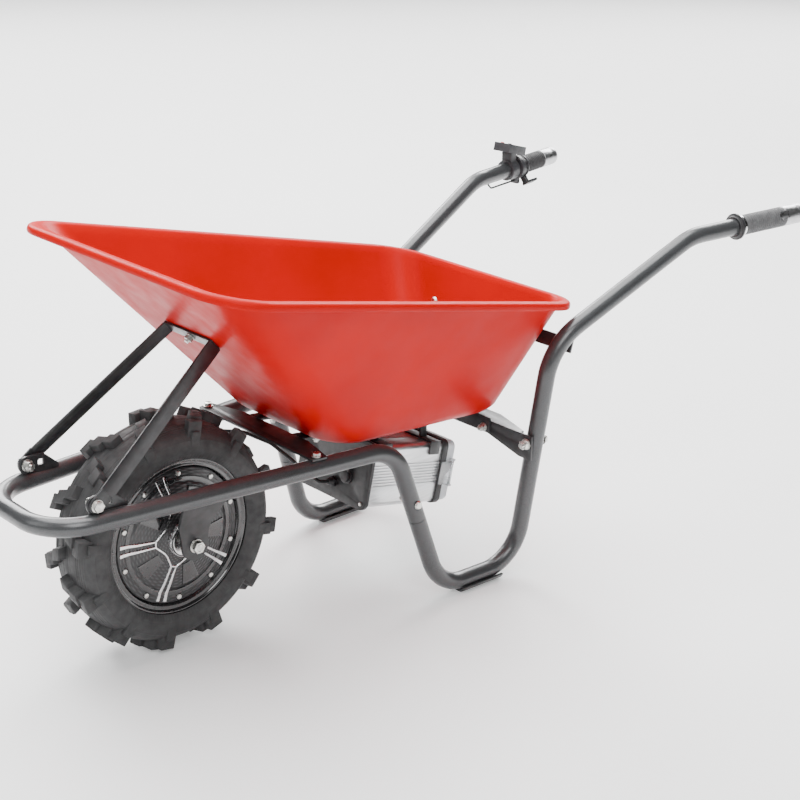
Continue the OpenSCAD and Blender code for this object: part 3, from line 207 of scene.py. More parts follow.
def lofted(name, rings, ends=True):
    """A skin drawn over rings of points: a grid laid over them, its seam merged and its ends filled."""
    count = len(rings[0])
    deselect()
    bpy.ops.mesh.primitive_grid_add(x_subdivisions=count, y_subdivisions=len(rings) - 1, size=1)
    piece = begun(name)
    flat = [c for ring in rings for point in list(ring) + [ring[0]] for c in point]
    piece.data.vertices.foreach_set("co", flat)
    piece.data.update()
    edit(piece)
    bpy.ops.mesh.select_all(action="SELECT")
    bpy.ops.mesh.remove_doubles(threshold=0.000002)
    if ends:
        bpy.ops.mesh.select_mode(type="EDGE")
        bpy.ops.mesh.select_all(action="DESELECT")
        bpy.ops.mesh.select_non_manifold(extend=False, use_wire=False, use_multi_face=False,
                                         use_non_contiguous=False, use_verts=False)
        bpy.ops.mesh.edge_face_add()
    shape_done()
    outward(piece)
    return piece


def capped(piece):
    """Close the openings of a skin with flat faces."""
    edit(piece)
    bpy.ops.mesh.select_all(action="SELECT")
    bpy.ops.mesh.fill_holes(sides=0)
    shape_done()
    outward(piece)
    return piece


def bent(corners, bends, step=5):
    """Points along a bar through the corners, with a true arc at each inner corner."""
    points = [corners[0]]
    for i in range(1, len(corners) - 1):
        into = (corners[i] - corners[i - 1]).normalized()
        out = (corners[i + 1] - corners[i]).normalized()
        turn = into.angle(out)
        radius = bends[i - 1] * MM
        inward = (out - into * out.dot(into)).normalized()
        centre = corners[i] - into * radius * math.tan(turn / 2) + inward * radius
        count = max(2, round(math.degrees(turn) / step))
        for k in range(count + 1):
            a = turn * k / count
            points.append(centre - inward * radius * math.cos(a) + into * radius * math.sin(a))
    return points + [corners[-1]]


def rod(name, points, radius, sides=24):
    """A round bar along points, drawn as a curve with a round section."""
    line = bpy.data.curves.new(name, "CURVE")
    line.dimensions = "3D"
    line.bevel_depth = radius * MM
    line.bevel_resolution = sides // 4 - 1
    line.use_fill_caps = True
    spline = line.splines.new("POLY")
    spline.points.add(len(points) - 1)
    for place, point in zip(spline.points, points):
        place.co = (*point, 1)
    piece = bpy.data.objects.new(name, line)
    bpy.context.collection.objects.link(piece)
    take(piece)
    bpy.ops.object.convert(target="MESH")
    piece = begun(name)
    outward(piece)
    smooth(piece, 50)
    return piece


def carried(node, body, slot, finish, ease=0.5, segments=2, angle=38):
    """A drawn piece carried over: its loose faces merged, flats made whole, edges eased, curves smooth."""
    take(NODES[node])
    bpy.ops.object.duplicate()
    piece = begun(node + ".eased")
    piece.parent = None
    piece.matrix_world = Matrix.Identity(4)
    edit(piece)
    bpy.ops.mesh.select_all(action="SELECT")
    bpy.ops.mesh.remove_doubles(threshold=0.000004)
    bpy.ops.mesh.dissolve_limited(angle_limit=math.radians(1))
    shape_done()
    if ease:
        eased(piece, ease, segments, angle)
    smooth(piece, angle)
    return fitted(piece, body, slot, finish, node)


# ---- Finishes ----
def surface(name, colour, rough, metal=0.0, coat=0.0, coat_rough=0.1, **sockets):
    """A new finish: its node tree and main shader, with what is the same all over set on the shader."""
    finish = bpy.data.materials.new(name)
    finish.use_nodes = True
    tree = finish.node_tree
    shader = tree.nodes["Principled BSDF"]
    shader.inputs["Base Color"].default_value = (*colour, 1)
    shader.inputs["Roughness"].default_value = rough
    shader.inputs["Metallic"].default_value = metal
    shader.inputs["Coat Weight"].default_value = coat
    shader.inputs["Coat Roughness"].default_value = coat_rough
    for socket, value in sockets.items():
        shader.inputs[socket.replace("_", " ")].default_value = value
    return finish, tree, shader


def added(tree, kind, links=(), **values):
    """One node with its settings, and (output, input) links into it."""
    node = tree.nodes.new(kind)
    for key, value in values.items():
        if hasattr(node, key):
            setattr(node, key, value)
        else:
            node.inputs[key.replace("_", " ")].default_value = value
    for output, name in links:
        tree.links.new(output, node.inputs[name])
    return node


def grain(tree, scale, detail=3.0, stretch=(1, 1, 1), rough=0.5):
    """Noise laid over the piece in metres, stretched along the axes."""
    place = added(tree, "ShaderNodeTexCoord")
    spread = added(tree, "ShaderNodeMapping", [(place.outputs["Object"], "Vector")])
    spread.inputs["Scale"].default_value = stretch
    return added(tree, "ShaderNodeTexNoise", [(spread.outputs["Vector"], "Vector")],
                 Scale=scale, Detail=detail, Roughness=rough).outputs["Fac"]


def tinted(tree, shader, amount, *stops):
    """Base colour from a ramp over a pattern: stops are (place, colour)."""
    ramp = added(tree, "ShaderNodeValToRGB", [(amount, "Fac")])
    line = ramp.color_ramp
    while len(line.elements) < len(stops):
        line.elements.new(0.5)
    for element, (place, colour) in zip(line.elements, stops):
        element.position = place
        element.color = (*colour, 1)
    tree.links.new(ramp.outputs["Color"], shader.inputs["Base Color"])
    return ramp


def ranged(tree, amount, low, high, start=0.3, end=0.7):
    node = added(tree, "ShaderNodeMapRange", [(amount, "Value")])
    for key, value in (("From Min", start), ("From Max", end), ("To Min", low), ("To Max", high)):
        node.inputs[key].default_value = value
    return node.outputs["Result"]


def roughened(tree, shader, amount, low, high):
    tree.links.new(ranged(tree, amount, low, high), shader.inputs["Roughness"])


def raised(tree, shader, *layers):
    """Bumps laid one on another: each layer is (height, strength, depth in millimetres)."""
    last = None
    for height, strength, depth in layers:
        links = [(height, "Height")] + ([(last, "Normal")] if last else [])
        last = added(tree, "ShaderNodeBump", links, Strength=strength, Distance=depth * MM).outputs["Normal"]
    tree.links.new(last, shader.inputs["Normal"])


def maths(tree, operation, a, b=None):
    node = added(tree, "ShaderNodeMath", operation=operation)
    for i, value in enumerate(v for v in (a, b) if v is not None):
        if isinstance(value, (int, float)):
            node.inputs[i].default_value = value
        else:
            tree.links.new(value, node.inputs[i])
    return node.outputs[0]


def around_axle(tree):
    """Distance from the wheel's axis, angle round it, and place along it, in metres and radians."""
    place = added(tree, "ShaderNodeTexCoord")
    parts = added(tree, "ShaderNodeSeparateXYZ", [(place.outputs["Object"], "Vector")])
    x = maths(tree, "SUBTRACT", parts.outputs["X"], AXLE.x)
    z = maths(tree, "SUBTRACT", parts.outputs["Z"], AXLE.z)
    square = maths(tree, "ADD", maths(tree, "MULTIPLY", x, x), maths(tree, "MULTIPLY", z, z))
    return maths(tree, "SQRT", square), maths(tree, "ARCTAN2", z, x), parts.outputs["Y"]


def tub_plastic():
    finish, tree, shader = surface("tub_plastic", (0.46, 0.001, 0.001), 0.42, Specular_IOR_Level=0.07)
    broad, fine = grain(tree, 5, 2), grain(tree, 420, 2)
    tinted(tree, shader, broad, (0.3, (0.42, 0.0012, 0.0008)), (0.7, (0.50, 0.002, 0.0014)))
    roughened(tree, shader, grain(tree, 24, 5), 0.34, 0.48)
    raised(tree, shader, (fine, 0.16, 0.18), (grain(tree, 40, 2), 0.1, 0.3))
    return finish


def graphite_paint():
    finish, tree, shader = surface("frame_paint", (0.04, 0.041, 0.043), 0.36, metal=0.25,
                                   coat=0.3, coat_rough=0.18)
    tinted(tree, shader, grain(tree, 1300, 2), (0.35, (0.030, 0.031, 0.033)), (0.62, (0.070, 0.072, 0.075)))
    roughened(tree, shader, grain(tree, 30, 4), 0.28, 0.40)
    raised(tree, shader, (grain(tree, 260, 2), 0.08, 0.12))
    return finish


def black_paint():
    finish, tree, shader = surface("black_paint", (0.014, 0.014, 0.015), 0.42, coat=0.2, coat_rough=0.3)
    tinted(tree, shader, grain(tree, 70, 4), (0.3, (0.010, 0.010, 0.011)), (0.72, (0.024, 0.024, 0.026)))
    roughened(tree, shader, grain(tree, 45, 4), 0.34, 0.52)
    raised(tree, shader, (grain(tree, 520, 2), 0.22, 0.14))
    return finish


def zinc_plate():
    finish, tree, shader = surface("zinc", (0.62, 0.61, 0.58), 0.3, metal=1.0)
    tinted(tree, shader, grain(tree, 160, 4), (0.3, (0.50, 0.50, 0.48)), (0.7, (0.74, 0.73, 0.69)))
    roughened(tree, shader, grain(tree, 240, 4), 0.22, 0.42)
    raised(tree, shader, (grain(tree, 900, 2), 0.15, 0.05))
    return finish


def tyre_rubber():
    finish, tree, shader = surface("tyre_rubber", (0.03, 0.03, 0.031), 0.72)
    radius, angle, _ = around_axle(tree)
    tinted(tree, shader, grain(tree, 36, 5), (0.3, (0.022, 0.022, 0.023)), (0.74, (0.045, 0.045, 0.046)))
    roughened(tree, shader, grain(tree, 90, 4), 0.58, 0.80)
    # short radial ticks just outside the rim, and fine rings up the sidewall
    ticks = maths(tree, "PINGPONG", maths(tree, "MULTIPLY", angle, 150 / math.pi), 1.0)
    near = ranged(tree, radius, 1.0, 0.0, 0.1465, 0.1475)
    rings = maths(tree, "PINGPONG", maths(tree, "MULTIPLY", radius, 520.0), 1.0)
    far = ranged(tree, radius, 1.0, 0.0, 0.180, 0.184)
    raised(tree, shader, (maths(tree, "MULTIPLY", ticks, near), 0.5, 0.5),
           (maths(tree, "MULTIPLY", rings, far), 0.10, 0.25), (grain(tree, 620, 3), 0.25, 0.12))
    return finish


def gloss_black():
    finish, tree, shader = surface("wheel_paint", (0.010, 0.010, 0.011), 0.22, coat=0.9, coat_rough=0.05)
    tinted(tree, shader, grain(tree, 60, 3), (0.3, (0.007, 0.007, 0.008)), (0.7, (0.016, 0.016, 0.017)))
    roughened(tree, shader, grain(tree, 130, 4), 0.16, 0.30)
    raised(tree, shader, (grain(tree, 220, 2), 0.06, 0.1))
    return finish


def hatched_black():
    """The same black with a fine slanted hatching cast in, for the sunk sectors of the motor covers."""
    finish, tree, shader = surface("cast_hatching", (0.012, 0.012, 0.013), 0.38, coat=0.4, coat_rough=0.2)
    radius, angle, _ = around_axle(tree)
    round_it = maths(tree, "MULTIPLY", angle, 24 / math.pi)
    out_from_it = maths(tree, "MULTIPLY", radius, 330.0)
    slants = [maths(tree, "PINGPONG", maths(tree, way, round_it, out_from_it), 1.0)
              for way in ("ADD", "SUBTRACT")]
    lines = maths(tree, "MULTIPLY", *slants)
    # painted light: the hatching is darker in its grooves as painted shade and lighter on its raised diamonds
    # as painted highlight
    tinted(tree, shader, lines, (0.1, (0.006, 0.006, 0.007)), (0.8, (0.040, 0.040, 0.042)))
    roughened(tree, shader, grain(tree, 90, 3), 0.30, 0.46)
    raised(tree, shader, (lines, 0.8, 0.9))
    return finish


def bright_aluminium():
    finish, tree, shader = surface("machined_aluminium", (0.78, 0.78, 0.78), 0.2, metal=1.0)
    radius, _, _ = around_axle(tree)
    turning = maths(tree, "PINGPONG", maths(tree, "MULTIPLY", radius, 2600.0), 1.0)
    tinted(tree, shader, grain(tree, 80, 4), (0.3, (0.66, 0.66, 0.67)), (0.7, (0.84, 0.84, 0.84)))
    roughened(tree, shader, grain(tree, 200, 3), 0.16, 0.32)
    raised(tree, shader, (turning, 0.2, 0.05))
    return finish


def brushed_aluminium():
    finish, tree, shader = surface("box_aluminium", (0.70, 0.71, 0.72), 0.34, metal=1.0, Anisotropic=0.35)
    brushing = grain(tree, 260, 4, (0.06, 1, 1), 0.6)
    tinted(tree, shader, brushing, (0.25, (0.60, 0.61, 0.62)), (0.75, (0.80, 0.81, 0.82)))
    roughened(tree, shader, brushing, 0.28, 0.46)
    raised(tree, shader, (brushing, 0.14, 0.08), (grain(tree, 700, 2), 0.08, 0.05))
    return finish


def moulded_plastic(name, dark, light, rough=0.45, coat=0.0):
    finish, tree, shader = surface(name, dark, rough, coat=coat)
    tinted(tree, shader, grain(tree, 80, 4), (0.3, dark), (0.72, light))
    roughened(tree, shader, grain(tree, 110, 4), rough - 0.07, rough + 0.08)
    raised(tree, shader, (grain(tree, 760, 2), 0.3, 0.12))
    return finish


def frosted_plastic():
    finish, tree, shader = surface("door_plastic", (0.80, 0.83, 0.85), 0.42, coat=0.2, coat_rough=0.2,
                                   Transmission_Weight=0.55, IOR=1.46)
    tinted(tree, shader, grain(tree, 30, 3), (0.3, (0.70, 0.74, 0.77)), (0.7, (0.86, 0.88, 0.90)))
    roughened(tree, shader, grain(tree, 150, 3), 0.36, 0.5)
    raised(tree, shader, (grain(tree, 520, 2), 0.3, 0.2))
    return finish


def clear_plastic():
    finish, tree, shader = surface("latch_plastic", (0.92, 0.94, 0.95), 0.14, coat=0.3,
                                   Transmission_Weight=0.85, IOR=1.49)
    tinted(tree, shader, grain(tree, 60, 3), (0.3, (0.86, 0.89, 0.91)), (0.7, (0.95, 0.96, 0.97)))
    roughened(tree, shader, grain(tree, 150, 3), 0.10, 0.2)
    return finish


def lively_metal(name, dark, light, rough=0.35):
    finish, tree, shader = surface(name, dark, rough, metal=1.0)
    tinted(tree, shader, grain(tree, 90, 5), (0.3, dark), (0.7, light))
    roughened(tree, shader, grain(tree, 180, 4), rough - 0.08, rough + 0.1)
    raised(tree, shader, (grain(tree, 500, 3), 0.2, 0.1))
    return finish


def wound_copper():
    finish, tree, shader = surface("copper", (0.6, 0.25, 0.1), 0.3, metal=1.0)
    _, _, side = around_axle(tree)
    wires = maths(tree, "PINGPONG", maths(tree, "MULTIPLY", side, 900.0), 1.0)
    # painted light: the winding is darker in the valleys between wire turns as painted shade and lighter on
    # their crests as painted highlight
    tinted(tree, shader, wires, (0.1, (0.25, 0.08, 0.03)), (0.8, (0.72, 0.33, 0.14)))
    raised(tree, shader, (wires, 0.7, 0.4))
    return finish


def dark_glass():
    finish, tree, shader = surface("screen_glass", (0.006, 0.008, 0.011), 0.06, coat=1.0, coat_rough=0.02)
    tinted(tree, shader, grain(tree, 40, 2), (0.3, (0.005, 0.006, 0.009)), (0.7, (0.012, 0.015, 0.020)))
    roughened(tree, shader, grain(tree, 300, 3), 0.04, 0.1)
    return finish


TUB = tub_plastic()
GRAPHITE = graphite_paint()
BLACK = black_paint()
ZINC = zinc_plate()
RUBBER = tyre_rubber()
GLOSS = gloss_black()
HATCHED = hatched_black()
MACHINED = bright_aluminium()
ALUMINIUM = brushed_aluminium()
PLASTIC = moulded_plastic("black_plastic", (0.012, 0.012, 0.013), (0.026, 0.026, 0.028))
JACKET = moulded_plastic("cable_jacket", (0.010, 0.010, 0.011), (0.022, 0.022, 0.023), 0.5)
GRIP_GREY = moulded_plastic("grip_rubber", (0.070, 0.070, 0.072), (0.110, 0.110, 0.113), 0.66)
GRIP_BLACK = moulded_plastic("grip_rubber_black", (0.018, 0.018, 0.019), (0.034, 0.034, 0.035), 0.66)
HOUSING = moulded_plastic("display_plastic", (0.030, 0.031, 0.034), (0.050, 0.051, 0.055), 0.4)
SILVER = lively_metal("cap_silver", (0.46, 0.46, 0.47), (0.62, 0.62, 0.63), 0.34)
CHROME = lively_metal("ring_chrome", (0.74, 0.74, 0.75), (0.86, 0.86, 0.86), 0.16)
FROSTED = frosted_plastic()
CLEAR = clear_plastic()
GLASS = dark_glass()
RED_KEY = moulded_plastic("red_key", (0.45, 0.012, 0.012), (0.60, 0.020, 0.018), 0.4)
TUBE_RUBBER = moulded_plastic("tube_rubber", (0.016, 0.016, 0.017), (0.030, 0.030, 0.031), 0.6)
MAGNET = lively_metal("magnet", (0.30, 0.30, 0.31), (0.44, 0.44, 0.45), 0.3)
STEEL = lively_metal("core_steel", (0.34, 0.35, 0.36), (0.48, 0.49, 0.50), 0.4)
COPPER = wound_copper()


# ---- Camera ----
def set_camera():
    """The camera stands low and to the left of the wheel, and looks a little down."""
    lens = bpy.data.cameras.new("camera")
    camera = bpy.data.objects.new("camera", lens)
    bpy.context.collection.objects.link(camera)
    turn, dip, roll = math.radians(41.597), math.radians(20.958), math.radians(0.861)
    ahead = Vector((math.sin(turn) * math.cos(dip), math.cos(turn) * math.cos(dip), -math.sin(dip)))
    right = ahead.cross(Vector((0, 0, 1))).normalized()
    up = right.cross(ahead)
    across = right * math.cos(roll) + up * math.sin(roll)
    upright = up * math.cos(roll) - right * math.sin(roll)
    frame_of_view = Matrix((across, upright, -ahead)).transposed().to_4x4()
    camera.matrix_world = Matrix.Translation(at(-1439.07, -2136.18, 1403.60)) @ frame_of_view
    lens.lens = 75.32
    lens.sensor_width = 36
    lens.shift_x = 0.0379
    lens.shift_y = 0.0115
    lens.clip_end = 50
    bpy.context.scene.camera = camera


# ---- Sizes, in millimetres ----
# The tub's floor and rim: tapered slabs, given by their front edge, half widths and fall to the back
FLOOR = dict(x=225, z=333, length=467.79, front=168, rear=134, round=42, corner=60, fall=math.atan(51 / 465))
RIM = dict(x=-87, z=694, length=862.0, front=306, rear=256, corner=88, fall=math.atan(180 / 843))
TUB_WALL, LIP_W = 4, 16

# The tubes' centrelines on the right-hand side
TUBE = 16                       # outer radius
FRAME_Z, SPLAY = 311, 0.115
NOSE = (-275, 97, FRAME_Z)
LEG_TOP = (364, NOSE[1] + SPLAY * (364 - NOSE[0]), FRAME_Z)
SEAM_Z = 168
FOOT_Z = TUBE * 1.035 + 5 + 0.3 - 0.8
FOOT_FRONT, FOOT_REAR = (459, 194, FOOT_Z), (648, 199, FOOT_Z)
HANDLE_SPLAY = 0.148
LOW = (679, 197 + 0.18 * 220, 448)
HIGH = (992, LOW[1] + HANDLE_SPLAY * 313, 605)
GRIP_END = (1262, LOW[1] + HANDLE_SPLAY * 583, 615)
LEG_BEND, NOSE_BEND, FOOT_BEND, LOW_BEND, HIGH_BEND = 70, 84, 80, 110, 120

# The wheel: radii of the tyre's lugs, its tread and its bead seats
TYRE_R, TREAD_R, SEAT_R = 207, 192, 124
TYRE_HALF = 56
LUGS_A_SIDE, TREAD_PHASE = 12, 86
SPOKES = [34 + 72 * k for k in range(5)]
SCREWS, SCREW_CIRCLE_R, SCREW_PHASE = 10, 112, 52.7

# The handles' ends: the rubber grips on the right (1) and on the left (-1), and their caps
GRIP_R, GRIP_L, CAP_L = 19, {1: 66, -1: 106}, 48
COLLAR_L = 4


def mirrored(point):
    return (point[0], -point[1], point[2])


def between(a, b, share):
    return tuple(p + (q - p) * share for p, q in zip(a, b))


# ---- Tub: one rotomoulded shell with a rolled lip ----
def round_outline(x0, x1, half_front, half_rear, corner, edge_steps=6, steps=12):
    """Points round a tapered slab with round corners, from the middle of its front edge."""
    lean = math.atan((half_front - half_rear) / (x1 - x0 - 2 * corner))
    yf, yr = half_front - corner, half_rear - corner
    points = [(x0, yf * k / edge_steps) for k in range(edge_steps)]
    turn = math.pi / 2 + lean
    points += [(x0 + corner - corner * math.cos(turn * k / steps), yf + corner * math.sin(turn * k / steps))
               for k in range(steps + 1)]
    rest = math.pi / 2 - lean
    arc = [(x1 - corner + corner * math.cos(rest - rest * k / steps),
            yr + corner * math.sin(rest - rest * k / steps)) for k in range(steps + 1)]
    points += [between(points[-1], arc[0], k / steps) for k in range(1, steps)]
    points += arc
    points += [(x1, yr * (edge_steps - k) / edge_steps) for k in range(1, edge_steps + 1)]
    return points + [(x, -y) for x, y in reversed(points[1:-1])]


def slab_ring(slab, inset, up, corner):
    """A ring round a tilted slab, drawn in by an inset and lifted off its face."""
    tilt = slab["fall"]
    outline = round_outline(inset, slab["length"] - inset, slab["front"] - inset, slab["rear"] - inset, corner)
    return [Vector((slab["x"] + x * math.cos(tilt) + up * math.sin(tilt), y,
                    slab["z"] - x * math.sin(tilt) + up * math.cos(tilt))) for x, y in outline]


def floor_ring(wall, turn):
    return slab_ring(FLOOR, wall + FLOOR["round"] * (1 - math.sin(turn)),
                     wall + FLOOR["round"] * (1 - math.cos(turn)), FLOOR["corner"])


def rim_ring(inset, up):
    return slab_ring(RIM, inset, up, RIM["corner"] - inset)


def wall_foot(wall):
    """How far the rounded lower edge turns at each point before it runs straight up into the wall."""
    degrees = range(20, 89)
    steps = [floor_ring(wall, math.radians(a)) for a in degrees]
    top = rim_ring(LIP_W + wall, 0)
    turns = []
    for k in range(len(top)):
        for a, ring in zip(degrees, steps):
            rise = top[k].z - ring[k].z
            run = math.hypot(top[k].x - ring[k].x, top[k].y - ring[k].y)
            if math.degrees(math.atan2(rise, run)) <= a:
                break
        turns.append(math.radians(a))
    return turns


def tub_skin(wall, shares):
    """Rings from the flat of the floor up the wall to the rim."""
    turns, steps = wall_foot(wall), 8
    rings = [[floor_ring(wall, turn * (step / steps))[k] for k, turn in enumerate(turns)]
             for step in range(steps + 1)]
    foot, top = rings[-1], rim_ring(LIP_W + wall, 0)
    for share in shares:
        rings.append([a.lerp(b, share) for a, b in zip(foot, top)])
    return rings


def make_tub():
    inner = tub_skin(TUB_WALL, (0.2, 0.4, 0.6, 0.8, 0.93, 0.985))
    lip = [rim_ring(inset, up) for inset, up in (
        (18.6, -1.1), (16.4, -0.2), (13.5, 0), (8, 0), (5, -0.5), (2.6, -1.8), (0.9, -3.8), (0.15, -6.5),
        (0, -9.2), (0.35, -12), (1.4, -13.7), (2.8, -14), (4.0, -13.2), (4.4, -10.5), (5.4, -7.2), (8, -5),
        (12, -4.4))]
    outer = tub_skin(0, (0.15, 0.35, 0.6, 0.85, 0.955, 0.975))
    rings = [[at(*p) for p in ring] for ring in inner + lip + list(reversed(outer))]
    tub = capped(lofted("tub", rings, ends=False))
    smooth(tub, 60)
    return fitted(tub, "frame", "tub_plastic", TUB, "tray")


# ---- Tube frame ----
def make_frame_tubes():
    leg_down = (Vector(FOOT_FRONT) - Vector(LEG_TOP)).normalized()
    share = (SEAM_Z - LEG_TOP[2]) / (FOOT_FRONT[2] - LEG_TOP[2])
    seam = between(LEG_TOP, FOOT_FRONT, share)
    gap = tuple(leg_down * 0.5)
    upper_end = tuple(s - g for s, g in zip(seam, gap))
    corners = [mirrored(upper_end), mirrored(LEG_TOP), mirrored(NOSE), NOSE, LEG_TOP, upper_end]
    bends = [LEG_BEND, NOSE_BEND, NOSE_BEND, LEG_BEND]
    loop = rod("front_tube", bent([at(*p) for p in corners], bends, 3), TUBE, 40)
    fitted(loop, "frame", "frame_paint", GRAPHITE, "front_frame")
    for side, node in ((1, "handle_tube_right"), (-1, "handle_tube_left")):
        lower = tuple(s + g for s, g in zip(seam, gap))
        path = [(x, side * y, z) for x, y, z in (lower, FOOT_FRONT, FOOT_REAR, LOW, HIGH, GRIP_END)]
        bends = [FOOT_BEND, FOOT_BEND, LOW_BEND, HIGH_BEND]
        tube = rod("handle_tube", bent([at(*p) for p in path], bends, 3), TUBE, 40)
        neck = [tuple(s + d * k for s, d in zip(seam, leg_down)) for k in (-6, 6)]
        swaged = rod("swaged_neck", [at(x, side * y, z) for x, y, z in neck], TUBE - 0.9, 40)
        fitted(joined(node + ".round", [tube, swaged]), "frame", "frame_paint", GRAPHITE, node)


# ---- Wheel ----
def wheel_frame(side=1):
    """A frame on the axle, Z outwards to the given side and X to the rear."""
    x, z = Vector((1, 0, 0)), Vector((0, side, 0))
    return Matrix.Translation(AXLE) @ Matrix((x, z.cross(x), z)).transposed().to_4x4()


def on_wheel(turn, y, radius):
    a = math.radians(turn)
    return AXLE + Vector((radius * MM * math.cos(a), y * MM, -radius * MM * math.sin(a)))


def tyre_section(inset, steps, reach):
    """The tyre's section: a rounded box between bead and tread, drawn in by an inset, and open at the beads."""
    mid, half = (SEAT_R + TREAD_R) / 2, (TREAD_R - SEAT_R) / 2

    def squared(value):
        return math.copysign(abs(value) ** 0.82, value)
    points = []
    for k in range(steps + 1):
        a = math.radians(-reach + 2 * reach * k / steps)
        points.append(((TYRE_HALF - inset) * squared(math.sin(a)),
                       mid + (half - inset) * squared(math.cos(a))))
    return points


def ribbed(points):
    """Fine ribs across the tread, and three thin rings on each sidewall."""
    out = []
    for y, r in points:
        if abs(y) < 45 and r > 178:
            r += 0.55 * math.cos(y * 2 * math.pi / 4.2)
        for ring, height in ((148, 0.5), (151.5, 0.5), (171, 0.7)):
            lift = height * max(0.0, 1 - abs(r - ring) / 0.9)
            y += math.copysign(lift, y) if abs(y) > 44 else 0
        out.append((y, r))
    return out


def make_tyre():
    outside = ribbed(tyre_section(0, 120, 124))
    inside = tyre_section(7, 28, 118)
    carcass = turned("carcass", outside + list(reversed(inside)), wheel_frame(), steps=144, closed=True)
    tyre = joined("tyre.treaded", [carcass] + make_lugs())
    smooth(tyre, 34)
    return fitted(tyre, "wheel", "tyre_rubber", RUBBER, "tyre")


# Steps of a lug: turn and span in degrees, places across the tread, radii, slant in degrees a millimetre
LUG = (
    (7.0, 7.0, -3, 18, TREAD_R - 8, TYRE_R - 0.3, -0.10),
    (3.2, 7.5, 14, 37, TREAD_R - 9, TYRE_R - 0.8, -0.10),
    (-0.6, 9.0, 33, 51, 174, TYRE_R - 5, -0.06),
    (-1.0, 6.0, 44, 56.6, 160, TYRE_R - 22, 0.0),
)


def lug_block(turn, span, y0, y1, r0, r1, slant):
    """One step of a lug: a block drawn in at its top, its edges eased, and laid round the tyre."""
    wide = math.radians(span) * r1
    step = block("lug", (-wide / 2, y0, r0), (wide / 2, y1, r1), Matrix.Identity(4))
    edit(step)
    pick(step, "FACE", lambda f: f.normal.z > 0.9)
    bpy.ops.transform.resize(value=(0.84, 0.9, 1), center_override=(0, (y0 + y1) / 2 * MM, r1 * MM))
    shape_done()
    eased(step, 1.3, 2)
    middle = (y0 + y1) / 2
    for v in step.data.vertices:
        x, y, r = v.co / MM
        v.co = on_wheel(turn + math.degrees(x / r1) + slant * (y - middle), y, r) - AXLE
    return step


def make_lugs():
    """Lugs round both edges of the tread, those on the left half a step on."""
    master = joined("lug_master", [lug_block(*step) for step in LUG])
    outward(master)
    lugs = []
    for side in (1, -1):
        for i in range(LUGS_A_SIDE):
            turn = math.radians(TREAD_PHASE + (i + (0 if side > 0 else 0.5)) * 360 / LUGS_A_SIDE)
            spin = Matrix.Rotation(turn, 4, "Y")
            flip = Matrix.Diagonal((1, side, 1, 1))
            lugs.append(copied(master, Matrix.Translation(AXLE) @ flip @ spin))
    bpy.data.objects.remove(master)
    return lugs


def make_rim():
    """Rim and motor shell: flange with a rolled edge, a bright step down to the covers, and the bead seats."""
    seat = [(0, 123), (30, 123), (38, 123.5), (41, 126)]
    flange = [(41.2, 139), (44.2, 139), (45.5, 138.2), (46, 136.6), (45.9, 134.4), (45, 132.6), (43.4, 131.6),
              (42.6, 129.5), (42.9, 127.2), (43.2, 125.6), (42.6, 124.2), (41, 123.4), (38.6, 122.6),
              (37.6, 121.4), (36, 120.5)]
    step = [(35.5, 120.4), (35.5, 103)]
    right = seat + flange + step
    left = [(-z, r) for z, r in reversed(right[1:])]
    rim = turned("rim", right + left, wheel_frame(), steps=144, closed=True)
    smooth(rim, 40)
    return fitted(rim, "wheel", "wheel_paint", GLOSS, "rim_shell")


# A motor cover's dished face: radius, and height over the middle of the wheel
COVER_DISH = ((29, 51), (43, 49), (91, 43), (95, 40), (121, 40))


def cover_height(radius):
    """Height of a motor cover's face at a radius."""
    for (r0, z0), (r1, z1) in zip(COVER_DISH, COVER_DISH[1:]):
        if radius <= r1:
            return z0 + (z1 - z0) * max(0.0, radius - r0) / (r1 - r0)
    return COVER_DISH[-1][1]


def strip(name, path, widths, lift=2.4):
    """A raised strip that follows the cover along a path of (turn, radius), with a width at each point."""
    flat = [Vector((r * math.cos(math.radians(a)), r * math.sin(math.radians(a)))) for a, r in path]
    rings = []
    for k, point in enumerate(flat):
        ahead = (flat[min(k + 1, len(flat) - 1)] - flat[max(k - 1, 0)]).normalized()
        side = Vector((-ahead.y, ahead.x))
        half = widths[k] / 2
        base = cover_height(point.length)
        ring = []
        for across, up in ((-half, -1.5), (-half, lift - 0.5), (-half + 0.5, lift), (half - 0.5, lift),
                           (half, lift - 0.5), (half, -1.5)):
            spot = point + side * across
            ring.append(Vector((spot.x, spot.y, base + up)) * MM)
        rings.append(ring)
    piece = lofted(name, rings)
    settle(piece)
    return piece


def spoke_lines():
    """Five bright lines: each comes in along one spoke, rounds the hub and goes out along the next."""
    outer, inner, steps, pitch = 116, 52, 8, 72
    leg = []                    # from the rim in: turn away from the middle of the spoke, radius, width
    for k in range(steps + 1):
        r, out = outer - (outer - inner) * k / steps, 1 - k / steps
        leg.append((math.degrees((5.0 + 2.6 * out ** 1.4) / r), r, 3.2 + 3.6 * out ** 1.5))
    leg_widths = [width for _, _, width in leg]
    parts = []
    for turn in SPOKES:
        path = [(turn + away, r) for away, r, _ in leg]
        start, end = path[-1][0], turn + pitch - (path[-1][0] - turn)
        for k in range(1, 12):
            share = k / 12
            sag = math.sin(math.pi * share)
            path.append((start + (end - start) * share, inner - 12.5 * sag ** 0.8))
        path += [(turn + pitch - away, r) for away, r, _ in reversed(leg)]
        parts.append(strip("spoke_line", path, leg_widths + [3.0] * 11 + leg_widths[::-1]))
        bar = [(turn + math.degrees(share * 5.2 / 51), 51) for share in (-1, -0.33, 0.33, 1)]
        parts.append(strip("spoke_bar", bar, [2.6] * 4))
    return parts


